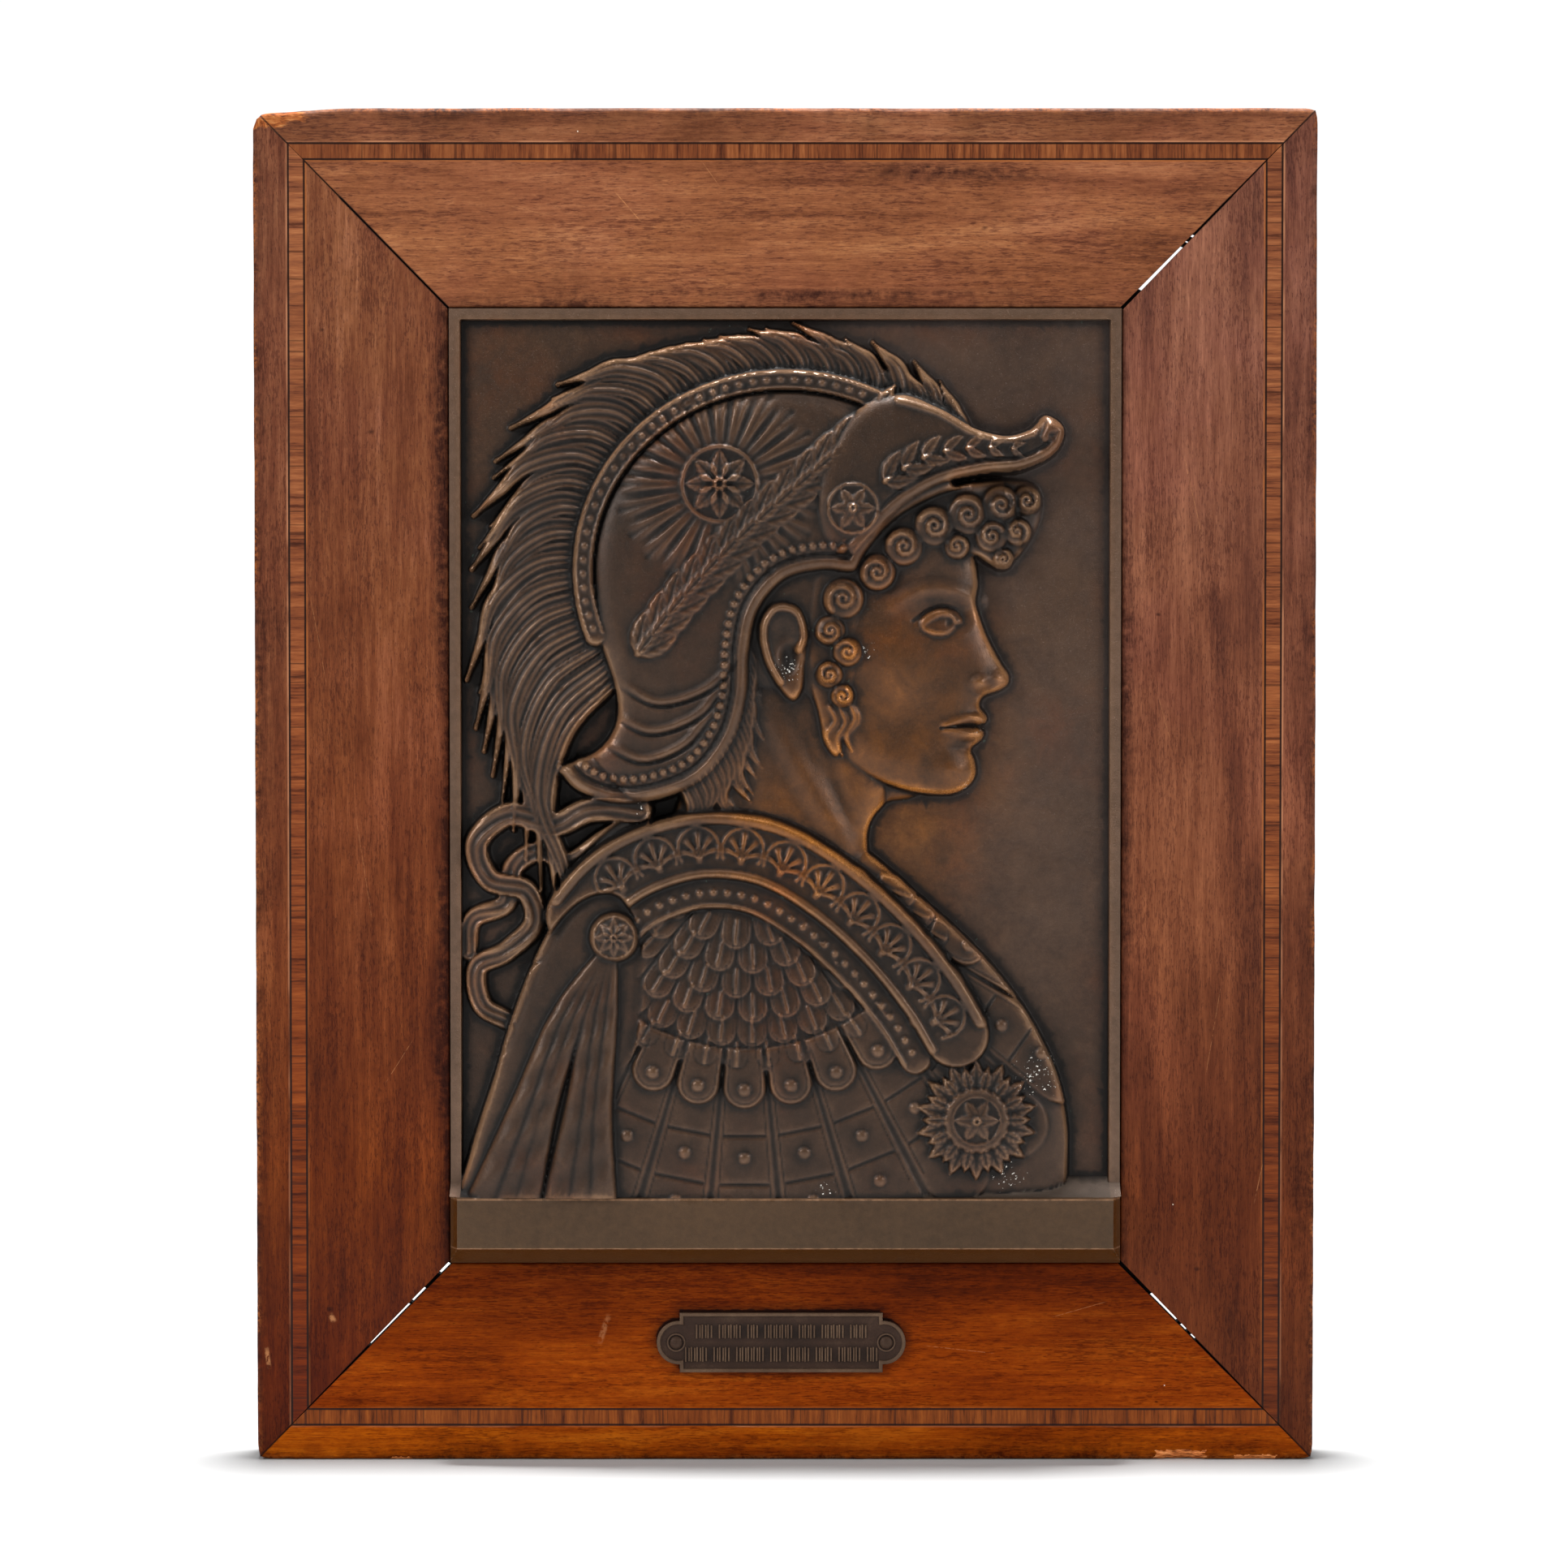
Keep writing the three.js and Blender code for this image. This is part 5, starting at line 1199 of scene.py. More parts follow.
class Value:
    """A number that a node gives. Arithmetic on it adds nodes."""

    def __init__(self, shade, socket):
        self.shade, self.socket = shade, socket

    def __add__(self, other):
        return self.shade.math("ADD", self, other)

    def __sub__(self, other):
        return self.shade.math("SUBTRACT", self, other)

    def __rsub__(self, other):
        return self.shade.math("SUBTRACT", other, self)

    def __mul__(self, other):
        return self.shade.math("MULTIPLY", self, other)

    __radd__, __rmul__ = __add__, __mul__

    def __abs__(self):
        return self.shade.math("ABSOLUTE", self)

    def clamped(self):
        """The same, kept from 0 to 1 by the node that gives it."""
        self.socket.node.use_clamp = True
        return self


class Shade:
    """A node material, with a method for each kind of node it uses."""

    def __init__(self, name):
        self.material = bpy.data.materials.new(name)
        self.material.use_nodes = True
        self.tree = self.material.node_tree
        self.shader = self.tree.nodes["Principled BSDF"]
        self.colour = None

    def node(self, kind, *links, **props):
        made = self.tree.nodes.new(kind)
        for key, value in props.items():
            setattr(made, key, value)
        for socket, value in links:
            self.put(made.inputs[socket], value)
        return made

    def put(self, socket, value):
        value = getattr(value, "socket", value)
        if isinstance(value, bpy.types.NodeSocket):
            self.tree.links.new(value, socket)
        elif isinstance(value, tuple) and len(value) == 3 and socket.type == "RGBA":
            socket.default_value = (*value, 1)
        else:
            socket.default_value = value

    def value(self, kind, *links, **props):
        return Value(self, self.node(kind, *links, **props).outputs[0])

    def math(self, operation, a, b=0.0):
        return self.value("ShaderNodeMath", (0, a), (1, b), operation=operation)

    def most(self, first, *others):
        for other in others:
            first = self.math("MAXIMUM", first, other)
        return first

    def fit(self, value, low, high, to_low=0.0, to_high=1.0):
        return self.value("ShaderNodeMapRange", ("Value", value), ("From Min", low), ("From Max", high),
                          ("To Min", to_low), ("To Max", to_high))

    def sway(self, noise, by):
        """The noise as a number that sways by that much both ways."""
        return self.fit(noise, 0.3, 0.7, -by, by)

    def vector(self, operation, a, b=(0, 0, 0)):
        return self.node("ShaderNodeVectorMath", (0, a), (1, b), operation=operation).outputs

    def split(self, vector):
        return [Value(self, part) for part in self.node("ShaderNodeSeparateXYZ", (0, vector)).outputs]

    def mix(self, factor, a, b, blend="MIX"):
        made = self.node("ShaderNodeMix", data_type="RGBA", blend_type=blend)
        self.put(made.inputs["Factor"], factor)
        self.put(made.inputs[6], a)
        self.put(made.inputs[7], b)
        return made.outputs[2]

    def tinted(self, colour, tint):
        return self.mix(1.0, colour, tint, "MULTIPLY")

    def tint(self, tint, share=None):
        """Multiplies the material's colour by a tint, in all or in part."""
        product = self.tinted(self.colour, tint)
        self.colour = product if share is None else self.mix(share, self.colour, product)

    def lay(self, share, colour):
        """Lays another colour over the material's."""
        self.colour = self.mix(share, self.colour, colour)

    def place(self, scale=(1, 1, 1)):
        """Object coordinates in millimetres, stretched."""
        at = self.node("ShaderNodeTexCoord").outputs["Object"]
        scale = tuple(1000 * s for s in scale)
        return self.node("ShaderNodeMapping", ("Vector", at), ("Scale", scale)).outputs[0]

    def noise(self, scale, detail=3.0, rough=0.5, seed=0.0, distortion=0.0):
        """Noise at scale cells a millimetre, or at one scale each along x, y and z."""
        at = self.place(scale if isinstance(scale, tuple) else (scale, scale, scale))
        moved = self.vector("ADD", at, (seed, 2 * seed, -seed))[0]
        return self.value("ShaderNodeTexNoise", ("Vector", moved), ("Scale", 1.0), ("Detail", detail),
                          ("Roughness", rough), ("Distortion", distortion))

    def attribute(self, name):
        colour = self.node("ShaderNodeAttribute", attribute_name=name).outputs["Color"]
        return [Value(self, part) for part in self.node("ShaderNodeSeparateColor", (0, colour)).outputs]

    def ramp(self, value, *stops):
        made = self.node("ShaderNodeValToRGB", ("Fac", value))
        while len(made.color_ramp.elements) < len(stops):
            made.color_ramp.elements.new(0.5)
        for element, (place, colour) in zip(made.color_ramp.elements, stops):
            element.position = place
            element.color = (*colour, 1)
        return made.outputs[0]

    def bump(self, height, strength, distance_mm, under=None):
        made = self.node("ShaderNodeBump", ("Height", height), ("Strength", strength),
                         ("Distance", distance_mm / 1000))
        if under:
            self.put(made.inputs["Normal"], under)
        return made.outputs[0]

    def finish(self, roughness, normal=None, metallic=0.0, **constants):
        for name, value in [("Base Color", self.colour), ("Roughness", roughness), ("Metallic", metallic)]:
            self.put(self.shader.inputs[name], value)
        if normal:
            self.put(self.shader.inputs["Normal"], normal)
        for name, value in constants.items():
            self.shader.inputs[name.replace("_", " ")].default_value = value
        return self.material

    def line(self, start, end, half_width):
        """How much a point of the front lies on a fine line between two places x, z in millimetres."""
        way = np.array(end, float) - np.array(start, float)
        size = float(np.hypot(*way))
        at = self.vector("SUBTRACT", self.place(), (start[0], 0, start[1]))[0]

        def along(x, z):
            return Value(self, self.vector("DOT_PRODUCT", at, (x / size, 0, z / size))["Value"])
        across = abs(along(-way[1], way[0]))
        off = abs(along(way[0], way[1]) - size / 2)
        soft_end = min(2.0, size * 0.3)
        return self.fit(across, half_width, half_width * 0.4) * self.fit(off, size / 2, size / 2 - soft_end)

    def away(self, x, z, wide=1.0, high=1.0):
        """Distance of a point of the front from a place x, z in millimetres, over wide and high."""
        at = self.place((1 / wide, 0, 1 / high))
        return Value(self, self.vector("DISTANCE", at, (x / wide, 0, z / high))["Value"])


def rgb(r, g, b):
    """A linear colour from one as it is seen, 0 to 255."""
    return tuple((v / 255 / 12.92) if v < 10.3 else ((v / 255 + 0.055) / 1.055) ** 2.4 for v in (r, g, b))


# Fine scratches in the polish of each board: start, end, half width, and how pale
SCRATCHES = {
    "top": [((-42, 4), (-35, -4), 0.16, 0.6), ((-21, 12), (-16, 5), 0.12, 0.4),
            ((52, -8), (60, -9), 0.12, 0.4), ((-70, 1), (-58, -2), 0.1, 0.35)],
    "bottom": [((-43.6, -273), (-46.2, -281), 0.9, 0.3), ((34, -281), (52, -283), 0.1, 0.4),
               ((-20, -300.6), (-6, -301.4), 0.12, 0.45), ((66, -274), (80, -270), 0.1, 0.35)],
    "left": [((-128.6, -281), (-127.9, -287), 0.7, 0.6), ((-113, -273), (-111.6, -275.4), 0.9, 0.6),
             ((-106, -150), (-102, -176), 0.1, 0.3),
             ((-92, -205), (-99, -216), 0.1, 0.4), ((-117, -96), (-113, -118), 0.1, 0.3)],
    "right": [((98, -60), (103, -82), 0.12, 0.35), ((108, -190), (104, -214), 0.1, 0.3),
              ((92, -120), (95, -131), 0.1, 0.4), ((119, -232), (116, -246), 0.12, 0.4)],
}
# White specks and dark knots: x, z, radius
SPECKS = {"top": [(-51, 18.6, 0.3)], "right": [(96, -246, 0.25)], "left": [], "bottom": [(94, -291, 0.25)]}
KNOTS = {"top": [(49, -5, 1.2), (35, 10, 0.9)],
         "right": [(102, -262, 1.3), (121, -240, 1.2), (92, -100, 1.0)],
         "left": [(-114, -30, 1.3), (-102, -55, 1.3), (-113, -272, 1.6)],
         "bottom": [(92, -295, 0.7), (37, -291, 0.6)]}


def grained(axis):
    """Cells a millimetre along and across a board or band, as cells along x, y and z."""
    return lambda along, across: (along, across, across) if axis == 2 else (across, across, along)


def faded(s, tints):
    """Changes the colour with height, from the top of the frame to the bottom."""
    z = s.split(s.place())[2] + s.sway(s.noise(0.02, 2), 8)
    stops = [((height - BOTTOM) / FRAME_H, tint) for height, tint in tints]
    s.tint(s.ramp(s.fit(z, BOTTOM, TOP), *stops))


def mahogany(name, axis, edge, sign, mottling, tick, seed):
    """Polished mahogany: axis is the one across the board, edge the frame's outer edge there."""
    s = Shade(f"mahogany_{name}")
    stretch = grained(axis)
    figure = s.noise(stretch(0.014, 0.085), 3, 0.55, seed, 0.6)
    streak = s.noise(stretch(0.035, 0.7), 4, 0.66, seed + 3, 0.3)
    fibre = s.noise(stretch(0.2, 3.4), 3, 0.65, seed + 5)
    mottle = s.noise(stretch(0.5, 1.3), 4, 0.7, seed + 13)
    ticks = s.noise(stretch(tick, 3.3), 2, 0.55, seed + 9)
    dashes = s.noise(stretch(0.33, 2.1), 2, 0.5, seed + 11)
    cloud = s.noise(0.035, 3, 0.55, seed + 7)
    shade = figure * 0.36 + streak * (0.46 - mottling) + mottle * mottling + cloud * 0.18
    s.colour = s.ramp(shade, *zip((0.4, 0.47, 0.53, 0.6), TONES[name]))
    s.tint((0.84, 0.76, 0.86), s.fit(cloud, 0.42, 0.6, 0.0, 0.7))
    s.tint((0.66, 0.58, 0.6), s.fit(fibre, 0.48, 0.64, 0.0, 0.75))
    s.tint((1.3, 1.25, 1.2), s.fit(fibre, 0.46, 0.32, 0.0, 0.5))
    crowd = s.fit(s.noise(stretch(0.03, 0.12), 2, 0.5, seed + 15, 0.3), 0.38, 0.62, -0.05, 0.05)
    dark = s.most(s.fit(ticks + crowd, 0.57, 0.65) * 0.75,
                  s.fit(dashes + crowd, 0.63, 0.69) * (0.25 + 2.8 * mottling)).clamped()
    s.tint((0.5, 0.42, 0.44), dark)

    at = s.split(s.place())
    front, off_back = s.fit(at[1], -BOARD_T + 3, -BOARD_T + 2.2), s.fit(at[1], -1, -3)
    u = (at[axis] - edge) * sign
    outside = s.fit(u, BAND_IN + 0.5, BAND_IN - 0.5) * s.fit(cloud, 0.6, 0.4, 0.3, 1.0)
    s.tint(OUTSIDE[name], outside)
    faded(s, TINTS[name])

    # the polish is worn pale along the inlay
    beside = s.fit(abs(u - (BAND_IN + BAND_W / 2)), BAND_W / 2 + 0.5, BAND_W / 2 + 0.3)
    worn_line = s.fit(s.noise(stretch(0.07, 0.02), 2, 0.5, seed + 21), 0.4, 0.58, 0.1, 0.7)
    worn_line = worn_line * (front * s.fit(at[2], -260, -120, 0.35, 1.0))
    pale = s.mix(s.fit(u, BAND_IN + 1, BAND_IN + 2), rgb(188, 128, 92), rgb(170, 98, 48))
    s.lay(beside * worn_line, pale)

    stain, bare, rub = s.attribute("wear")
    patchy = s.fit(s.noise(0.4, 4, 0.65, seed + 1), 0.32, 0.68, 0.1, 1.6)
    stained = (stain * patchy).clamped() * off_back
    s.tint((0.2, 0.15, 0.17), stained * 0.9)
    scuff = s.fit(s.noise(1.1, 3, 0.65, seed + 2), 0.44, 0.58)
    s.lay(rub * scuff * 0.75, rgb(172, 96, 42))

    torn = s.noise(stretch(0.4, 1.8), 4, 0.65, seed + 17)
    for x, half, deep in CHIPS if name == "bottom" else []:
        ragged = s.sway(s.noise(0.8, 3, 0.6, x), 0.4)
        along, up = abs(at[0] - x) + ragged * 2.0, at[2] - BOTTOM + ragged
        chip = s.fit(along, half, half - 0.5) * s.fit(up, deep + 0.1, deep - 0.15)
        bare = s.most(bare, chip * front)
    raw = s.ramp(torn, (0.36, rgb(92, 46, 22)), (0.44, rgb(158, 88, 42)), (0.56, rgb(188, 116, 60)),
                 (0.72, rgb(216, 158, 100)))
    # bare wood; in the bottom board's chips, which face down, it is painted far paler as painted light
    raw = s.tinted(raw, (1.8, 1.8, 2.0) if name == "bottom" else (0.85, 0.75, 0.7))
    broken = s.fit(bare + torn * 0.5, 0.62, 0.78)
    s.lay(broken * 0.95, raw)

    marks = s.most(0.0, *[s.line(start, end, half) * pale for start, end, half, pale in SCRATCHES[name]])
    marks = marks * front * s.fit(s.noise(1.3, 2, 0.5, seed + 4), 0.35, 0.55)
    s.lay(marks, rgb(196, 134, 86))
    for x, z, r in SPECKS[name]:
        speck = s.line((x - 0.6 * r, z), (x + 0.6 * r, z + 0.1), 0.8 * r) * front
        s.lay(speck, rgb(235, 220, 200))
    for x, z, r in KNOTS[name]:
        knot = s.fit(s.away(x, z, 1, 0.6) + mottle * r, 1.35 * r, 0.7 * r) * off_back
        s.tint((0.2, 0.16, 0.2), knot * 0.75)
    if name == "bottom":
        # painted shadow of the nameplate, darkest above it
        s.lay(plate_shadow(s) * front, (0.006, 0.0025, 0.002))
    for sx in (-1, 1) if axis == 2 else (-sign,):
        for top in (edge == TOP,) if axis == 2 else (True, False):
            s.lay(mitre_dirt(s, sx, top), (0.004, 0.002, 0.002))

    # glue, and the cut ends in the mitres, are black
    normal = s.split(s.vector("ABSOLUTE", s.node("ShaderNodeNewGeometry").outputs["True Normal"])[0])
    cut = s.fit(s.math("MINIMUM", normal[0], normal[2]), 0.62, 0.68)
    s.lay(s.most(s.attribute("glue")[0], cut), rgb(14, 8, 6))
    height = dark * -0.7 + fibre * 0.4 - (marks * 0.5 + broken * torn)
    bumps = s.bump(height, 0.45, 0.1, s.bump(s.noise(0.06, 2), 0.2, 0.6))
    rough = s.fit(cloud, 0.3, 0.7, 0.4, 0.52) + dark * 0.15 + s.most(stained, broken) * 0.2
    return s.finish(rough.clamped(), bumps,
                    Specular_IOR_Level={"bottom": 0.05, "top": 0.14}.get(name, 0.11))


def mitre_dirt(s, sx, top):
    """Black dirt along a mitre, wider towards the inner corner."""
    edge, sz = (TOP, 1) if top else (BOTTOM, -1)

    def at(f):
        return sx * (SIDE - f * (SIDE_BOARD + 0.2)), edge - sz * f * (END_BOARD + 0.2)
    return s.most(s.line(at(-0.1), at(1), 0.3) * 0.8, s.line(at(0.42), at(1.03), 0.46))


def plate_shadow(s):
    """A painted shadow on the board round the nameplate, most of all above it: the plate's outline moved up
    and a little left, darkened, with a faint halo.
    """
    at = s.vector("SUBTRACT", s.place(), (PLATE_AT[0] - 0.35, 0, BOTTOM + PLATE_AT[1] + 0.75))[0]
    x, _, z = s.split(s.vector("ABSOLUTE", at)[0])
    box = s.most(x - (PLATE_L / 2 - 0.2), z - (PLATE_H / 2 - 0.1))
    lobe = s.math("SQRT", s.math("POWER", x - LOBE_AT, 2.0) + s.math("POWER", z, 2.0))
    far = s.math("MINIMUM", box, lobe - (LOBE_R - 0.1)) + s.sway(s.noise(0.5, 2), 0.2)
    return s.most(s.fit(far, 0.4, -0.2) * 0.94, s.fit(far, 2.6, 0.2, 0.0, 0.35))


def inlay(name, axis, edge, sign):
    """Crossbanding between dark lines: axis is the one across the band, edge the frame's outer edge there."""
    s = Shade(f"crossband_{name}")
    stretch = grained(axis)
    stripe = s.noise(stretch(0.7, 0.04), 3, 0.6, edge, 0.1)
    grain = s.noise(stretch(3.2, 0.3), 3, 0.6, edge + 4)
    broad = s.noise(stretch(0.12, 0.03), 2, 0.5, edge + 8)
    s.colour = s.ramp(stripe * 0.65 + grain * 0.35, (0.36, rgb(78, 36, 20)), (0.43, rgb(114, 60, 36)),
                      (0.53, rgb(136, 74, 42)), (0.66, rgb(160, 94, 56)))
    if axis == 0:
        s.tint((1.22, 1.45, 1.6))
    tint = (1, 0.84, 0.28) if edge == BOTTOM else (0.95, 1, 0.9)
    faded(s, TINTS[name] if axis == 0 else [(BOTTOM, tint), (TOP, tint)])
    s.tint((0.7, 0.62, 0.58), s.fit(broad, 0.38, 0.62, 0.0, 0.7))
    joint = s.fit(s.noise(stretch(1.5, 0.02), 1, 0.5, edge + 12), 0.62, 0.68)
    s.lay(joint * 0.6, rgb(56, 26, 16))
    u = (s.split(s.place())[axis] - edge) * sign
    waver = (s.noise(stretch(0.25, 0.25), 2) - 0.5) * 0.12
    line = s.fit(abs(u - (BAND_IN + BAND_W / 2)) + waver, 1.64, 1.76)
    s.lay(line * 0.95, rgb(30, 15, 10))
    bumps = s.bump(grain * 0.5 + line * -0.8, 0.4, 0.1)
    return s.finish(s.fit(broad, 0.3, 0.7, 0.4, 0.5), bumps, Specular_IOR_Level=0.14)


def bronze():
    s = Shade("patinated_bronze")
    fine, broad, wide = s.attribute("relief")
    face, white, dirt = s.attribute("patina")
    # the second and third values are painted sheen: on the low ground, and on the open shelf
    height, dust, shelf = s.attribute("height")
    cloud = s.noise(0.03, 4, 0.6)
    blotch = s.noise(0.13, 4, 0.65, 12, 0.4)
    mottle = s.noise(0.45, 4, 0.7, 18, 0.2)
    grain = s.noise(1.8, 4, 0.7)
    pits = s.noise(3.2, 2, 0.6, 6)
    # painted sheen, on the low ground only
    film = dust * s.fit(height, 0.1, 0.2, 1.0, 0.0)

    # from the dark hollows, 0, to the rubbed edges, 1
    level = s.fit(broad, 0.1, 0.5, 0.0, 0.42) + s.fit(broad, 0.5, 0.9, 0.0, 0.26)
    level = level + s.fit(fine, 0.2, 0.8, -0.2, 0.22) + s.fit(wide, 0.5, 0.9, 0.0, -0.05)
    # the last term lightens the low ground with painted sheen
    level = level + s.fit(height, 0.1, 0.5, 0.04, -0.06) + film * 0.1
    for noise, by in ((cloud, 0.07), (blotch, 0.07), (mottle, 0.035), (grain, 0.03)):
        level = level + s.sway(noise, by)
    level = level.clamped()
    s.colour = s.ramp(level, (0.0, (0.004, 0.002, 0.001)), (0.22, (0.015, 0.008, 0.004)),
                      (0.44, (0.046, 0.023, 0.012)), (0.66, (0.098, 0.051, 0.027)),
                      (1.0, (0.28, 0.155, 0.08)))
    s.tint((2.95, 2.0, 0.66), face * s.fit(blotch, 0.3, 0.7, 0.6, 1.0))
    s.tint((1.15, 0.8, 0.6), dirt * s.fit(blotch, 0.35, 0.6, 0.1, 0.8))
    # painted sheen: a paler, greyer colour on the low ground
    s.lay(film * s.fit(mottle, 0.3, 0.7, 0.27, 0.45), (0.098, 0.066, 0.054))

    # the rim, the tablet and its bevel
    x, y, z = s.split(s.place())
    aside, half = abs(x), BRONZE_W / 2
    front = s.fit(y, -LIP_T - 2, -LIP_T - 2.5)
    tablet = s.fit(z, FOOT + TABLET_TOP + 0.3, FOOT + TABLET_TOP + 0.1) * front
    side = s.fit(aside, half - RIM_W - 0.1, half - RIM_W + 0.1)
    head = s.fit(z, FOOT + BRONZE_H - RIM_W - 0.1, FOOT + BRONZE_H - RIM_W + 0.1)
    rubbed = s.ramp(s.fit(cloud * 0.5 + mottle * 0.5, 0.35, 0.65), (0.0, (0.104, 0.06, 0.036)),
                    (1.0, (0.176, 0.102, 0.065)))
    s.lay(s.most(tablet, s.most(side, head) * front) * 0.85, rubbed)
    # painted sheen on the open shelf, paler towards the right
    s.lay(shelf * 0.7, (0.12, 0.086, 0.064))
    s.lay(tablet * 0.9, s.tinted(rubbed, (0.415, 0.353, 0.185)))
    bevel = s.most(s.fit(z, FOOT + TABLET_LOW + 0.15, FOOT + TABLET_LOW - 0.15),
                   s.fit(aside, half - TABLET_END - 0.1, half - TABLET_END + 0.1)) * tablet
    s.lay(bevel * 0.9, (0.082, 0.027, 0.002))
    worn = s.most(s.fit(abs(z - (FOOT + TABLET_LOW)), 0.28, 0.12),
                  s.fit(abs(z - (FOOT + TABLET_TOP - 0.15)), 0.3, 0.15)) * front
    s.lay(worn * s.fit(mottle, 0.35, 0.6, 0.2, 0.75), rgb(150, 112, 82))

    green = s.fit(s.noise(0.5, 3, 0.6, 33), 0.7, 0.74) * s.fit(broad, 0.48, 0.3)
    s.lay(green * 0.5, rgb(74, 96, 84))
    crumbs = s.noise(1.5, 3, 0.6, 51) + white * 0.1
    residue = s.fit(crumbs, 0.7, 0.73) * s.fit(white, 0.0, 0.2)
    s.lay(residue, rgb(226, 222, 214))
    rough = s.fit(level, 0.1, 0.7, 0.58, 0.31) + s.sway(grain, 0.04) + face * -0.05
    bumps = s.bump(grain + s.fit(pits, 0.62, 0.72) * -0.8, 0.45, 0.12, s.bump(blotch, 0.2, 0.5))
    return s.finish(s.most(rough, residue * 0.9), bumps, metallic=(1.0 - residue) * 0.3,
                    Specular_IOR_Level=0.42)


def plate_bronze(name, lift):
    """The nameplate's bronze, or a pin's: lift is how much paler its raised parts are."""
    s = Shade(name)
    out = (s.split(s.place())[1] + BOARD_T) * -1.0
    cloud = s.noise(0.14, 4, 0.6, 4)
    grain = s.noise(2.4, 4, 0.65, 2)
    raised_part = s.fit(out, PLATE_T + 0.06, PLATE_T + 0.24)
    at_x, at_z = PLATE_AT[0], BOTTOM + PLATE_AT[1]
    shade = 0.0
    for y, length, tall, _ in STROKE_ROWS:
        reach = length / 2 + 1.5
        shade = s.most(shade, s.line((at_x - reach, at_z + y), (at_x + reach, at_z + y), 0.75 * tall))
    for x in (-PIN_AT, PIN_AT):
        shade = s.most(shade, s.fit(s.away(at_x + x, at_z), 2.7, 2.0))
    shade = shade * s.fit(raised_part, 0.0, 0.6, 1.0, 0.0) * 0.24
    level = s.fit(cloud, 0.3, 0.7, 0.2, 0.45) + raised_part * lift - shade + s.sway(grain, 0.06)
    s.colour = s.ramp(level.clamped(), (0.0, (0.01, 0.005, 0.003)), (0.35, (0.036, 0.017, 0.01)),
                      (0.7, (0.1, 0.058, 0.034)), (1.0, (0.2, 0.125, 0.075)))
    return s.finish(s.fit(level, 0.0, 1.0, 0.62, 0.45), s.bump(grain, 0.35, 0.12), metallic=0.3,
                    Specular_IOR_Level=0.25)


def plain(name, colour, rough):
    s = Shade(name)
    s.colour = colour
    s.lay(s.fit(s.noise(0.004, 2), 0.3, 0.7), tuple(0.985 * c for c in colour))
    return s.finish(rough)


def dress(piece, material):
    piece.data.materials.clear()
    piece.data.materials.append(material)


# ---- The plaque ----

# From dark to light, the wood's tones on each board
TONES = {
    "left": [rgb(92, 49, 30), rgb(114, 65, 41), rgb(130, 79, 50), rgb(153, 99, 68)],
    "right": [rgb(98, 58, 45), rgb(122, 75, 56), rgb(137, 88, 67), rgb(158, 105, 80)],
    "top": [rgb(114, 65, 40), rgb(143, 86, 55), rgb(161, 101, 65), rgb(183, 122, 81)],
    "bottom": [rgb(112, 42, 0), rgb(140, 57, 0), rgb(158, 70, 3), rgb(182, 91, 14)],
}
# How the tone changes with height: z, and the share of red, green and blue left
TINTS = {
    "top": [(BOTTOM, (0.89, 0.89, 0.84)), (TOP, (0.89, 0.89, 0.84))],
    "left": [(-290, (0.45, 0.17, 0.015)), (-245, (0.68, 0.38, 0.1)), (-150, (0.8, 0.61, 0.44)),
             (-30, (1, 1, 1))],
    "right": [(-245, (0.53, 0.31, 0.12)), (-150, (0.88, 0.74, 0.56)), (-30, (1, 1, 1))],
    "bottom": [(-300, (0.8, 0.76, 0.55)), (-288, (0.8, 0.76, 0.5)), (-274, (0.54, 0.48, 0.4)),
               (-262, (0.44, 0.38, 0.3))],
}
# The share of each tone that the strip outside the inlay keeps
OUTSIDE = {"top": (0.7, 0.69, 0.73), "bottom": (1.55, 1.95, 1.65), "left": (1.12, 1.22, 1.4),
           "right": (0.9, 0.88, 0.9)}

wood = boards()
for name, axis, edge, sign, mottling, tick, seed in (
        ("top", 2, TOP, -1, 0.22, 0.45, 3.0), ("bottom", 2, BOTTOM, 1, 0.18, 0.4, 31.0),
        ("left", 0, -SIDE, 1, 0.16, 0.8, 57.0), ("right", 0, SIDE, -1, 0.14, 0.7, 83.0)):
    dress(wood[name], mahogany(name, axis, edge, sign, mottling, tick, seed))
    dress(frame["nodes"][f"inlay_band_{name}"], inlay(name, axis, edge, sign))

dress(relief_piece(), bronze())
dress(nameplate(), plate_bronze("nameplate_bronze", 0.36))
for name, x in (("pin_left", -PIN_AT), ("pin_right", PIN_AT)):
    dress(pin(name, x), plate_bronze(name + "_bronze", 0.1))

# ---- Floor, light and camera ----

def ground():
    mesh = bpy.data.meshes.new("floor")
    wide, near, far, z = 1.6, -1.6, 0.75, BOTTOM / 1000
    mesh.from_pydata([(-wide, near, z), (wide, near, z), (wide, far, z), (-wide, far, z)], [], [(0, 1, 2, 3)])
    made = bpy.data.objects.new("floor", mesh)
    bpy.context.scene.collection.objects.link(made)
    dress(made, plain("pale_floor", (0.46, 0.46, 0.46), 0.9))
    made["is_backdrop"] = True


def area_light(name, at, aim, size, watts):
    light = bpy.data.lights.new(name, "AREA")
    light.shape, light.size, light.energy = "DISK", size, watts
    lamp = bpy.data.objects.new(name, light)
    bpy.context.scene.collection.objects.link(lamp)
    point(lamp, at, aim)


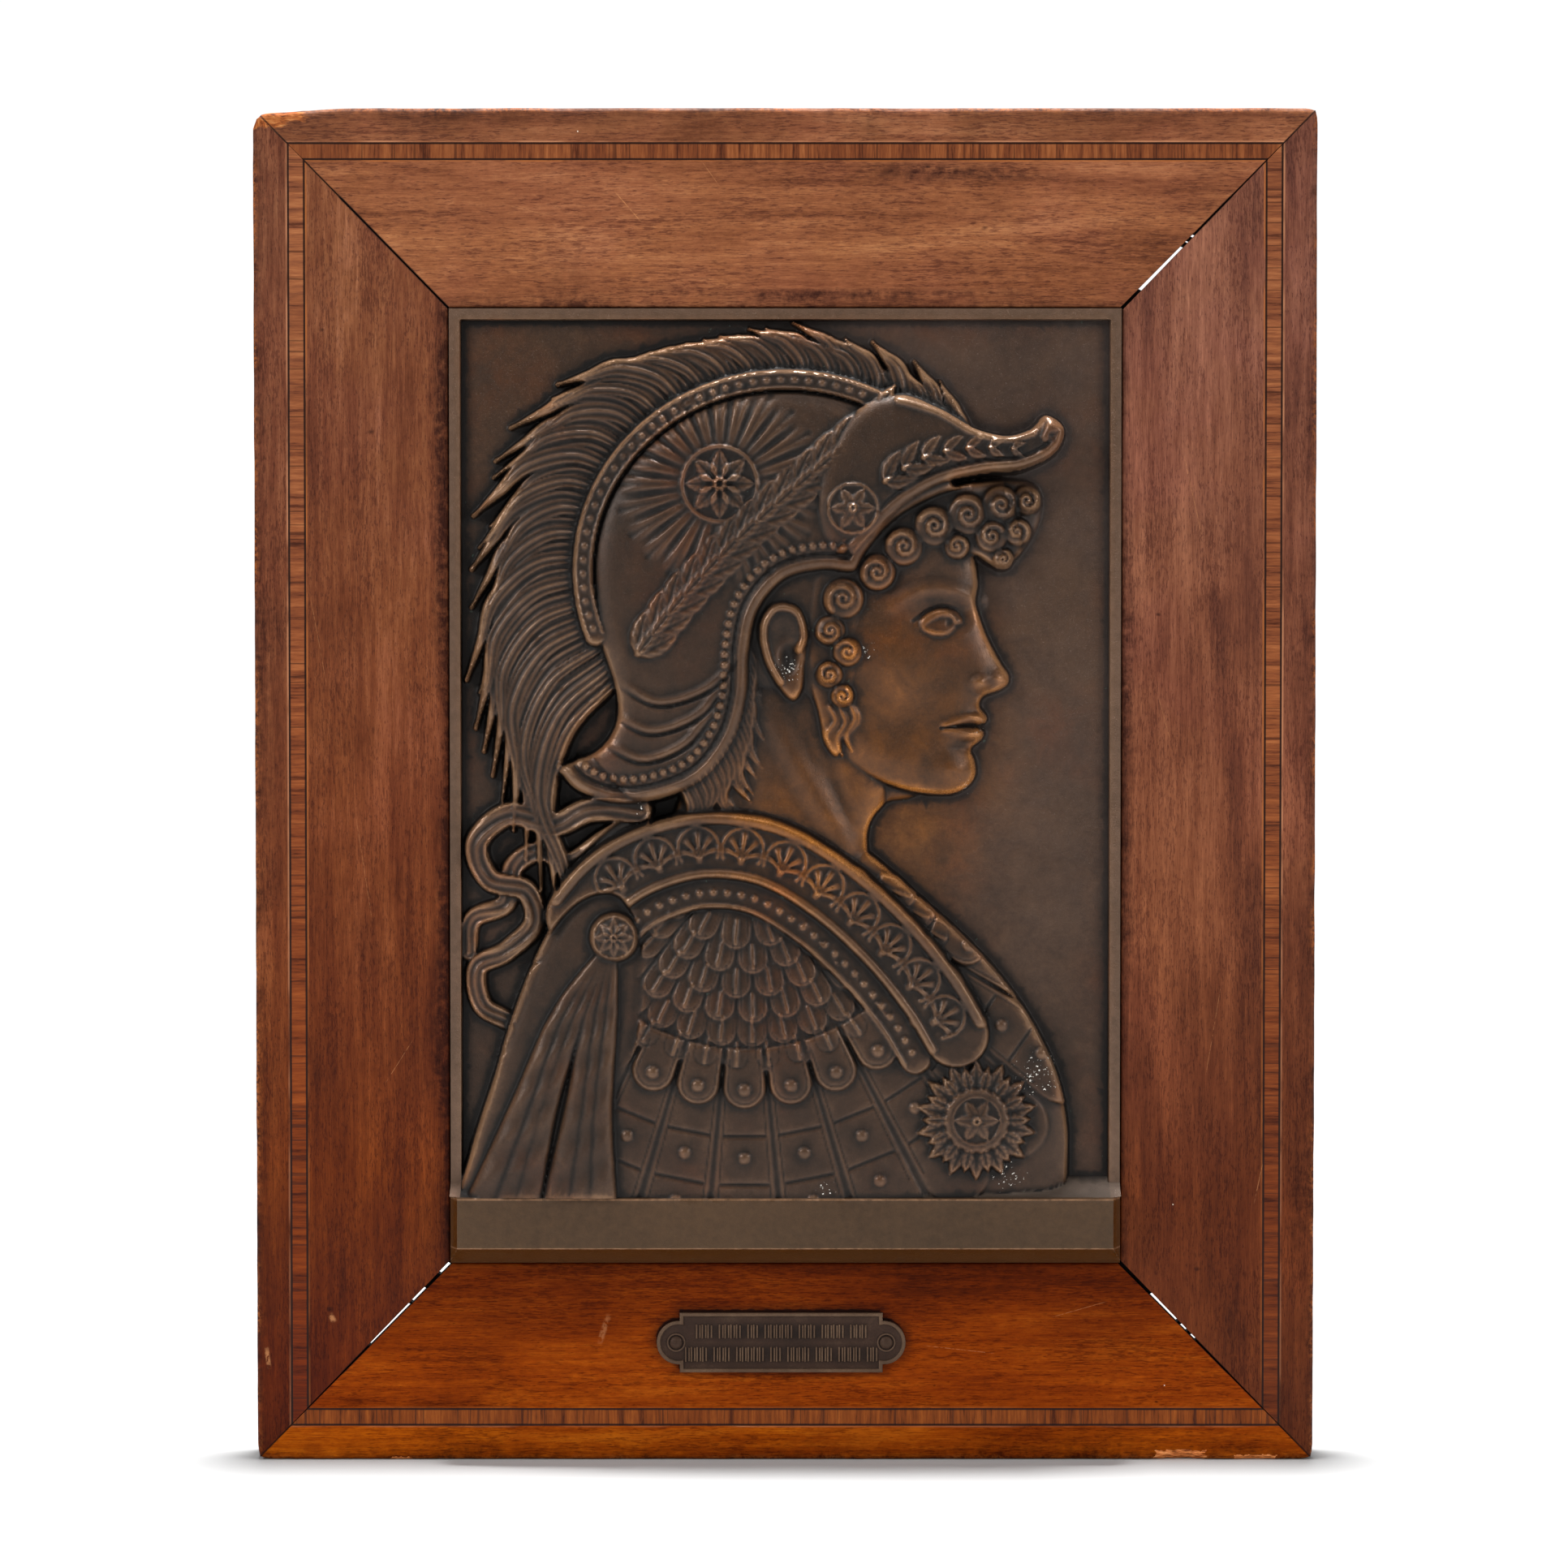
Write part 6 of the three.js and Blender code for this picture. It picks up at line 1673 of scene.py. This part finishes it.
def point(thing, at, aim):
    thing.location = at
    thing.rotation_mode = "QUATERNION"
    thing.rotation_quaternion = (Vector(aim) - Vector(at)).to_track_quat("-Z", "Y")


def world():
    made = bpy.data.worlds.new("studio")
    bpy.context.scene.world = made
    made.use_nodes = True
    tree = made.node_tree
    tree.nodes["Background"].inputs["Color"].default_value = (1, 1, 1, 1)
    tree.nodes["Background"].inputs["Strength"].default_value = 0.11
    seen = tree.nodes.new("ShaderNodeBackground")
    seen.inputs["Color"].default_value = (1, 1, 1, 1)
    seen.inputs["Strength"].default_value = 1.05
    path, mix = tree.nodes.new("ShaderNodeLightPath"), tree.nodes.new("ShaderNodeMixShader")
    tree.links.new(path.outputs["Is Camera Ray"], mix.inputs[0])
    tree.links.new(tree.nodes["Background"].outputs[0], mix.inputs[1])
    tree.links.new(seen.outputs[0], mix.inputs[2])
    tree.links.new(mix.outputs[0], tree.nodes["World Output"].inputs["Surface"])


ground()
world()
CENTRE = (0, -0.014, (TOP + BOTTOM) / 2000)
area_light("key", (-1.05, -0.85, 0.5), CENTRE, 0.45, 11.4)
area_light("right", (1.05, -0.75, 0.25), CENTRE, 0.45, 5.7)
area_light("front", (0, -0.6, 1.1), CENTRE, 0.7, 3.2)
area_light("above", (0, 0.1, 2.7), (0, 0.1, 0), 0.36, 210)
area_light("behind", (0.2, 1.6, 0.5), (0, 0.4, -0.3), 1.5, 8)

camera_data = bpy.data.cameras.new("camera")
camera_data.lens = 100
camera_data.clip_end = 50
camera = bpy.data.objects.new("camera", camera_data)
bpy.context.scene.collection.objects.link(camera)
bpy.context.scene.camera = camera
AIM = (-0.0003, -0.015, (TOP + BOTTOM) / 2000 + 0.0007)
AWAY, TILT = 1.0752, math.radians(1.75)
point(camera, (0, AIM[1] - AWAY * math.cos(TILT), AIM[2] + AWAY * math.sin(TILT)), AIM)
bpy.context.scene.view_settings.view_transform = "Standard"

boxes = {"cad": [list(c) for c in CAD_BOX], "visual": [list(c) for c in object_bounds()]}
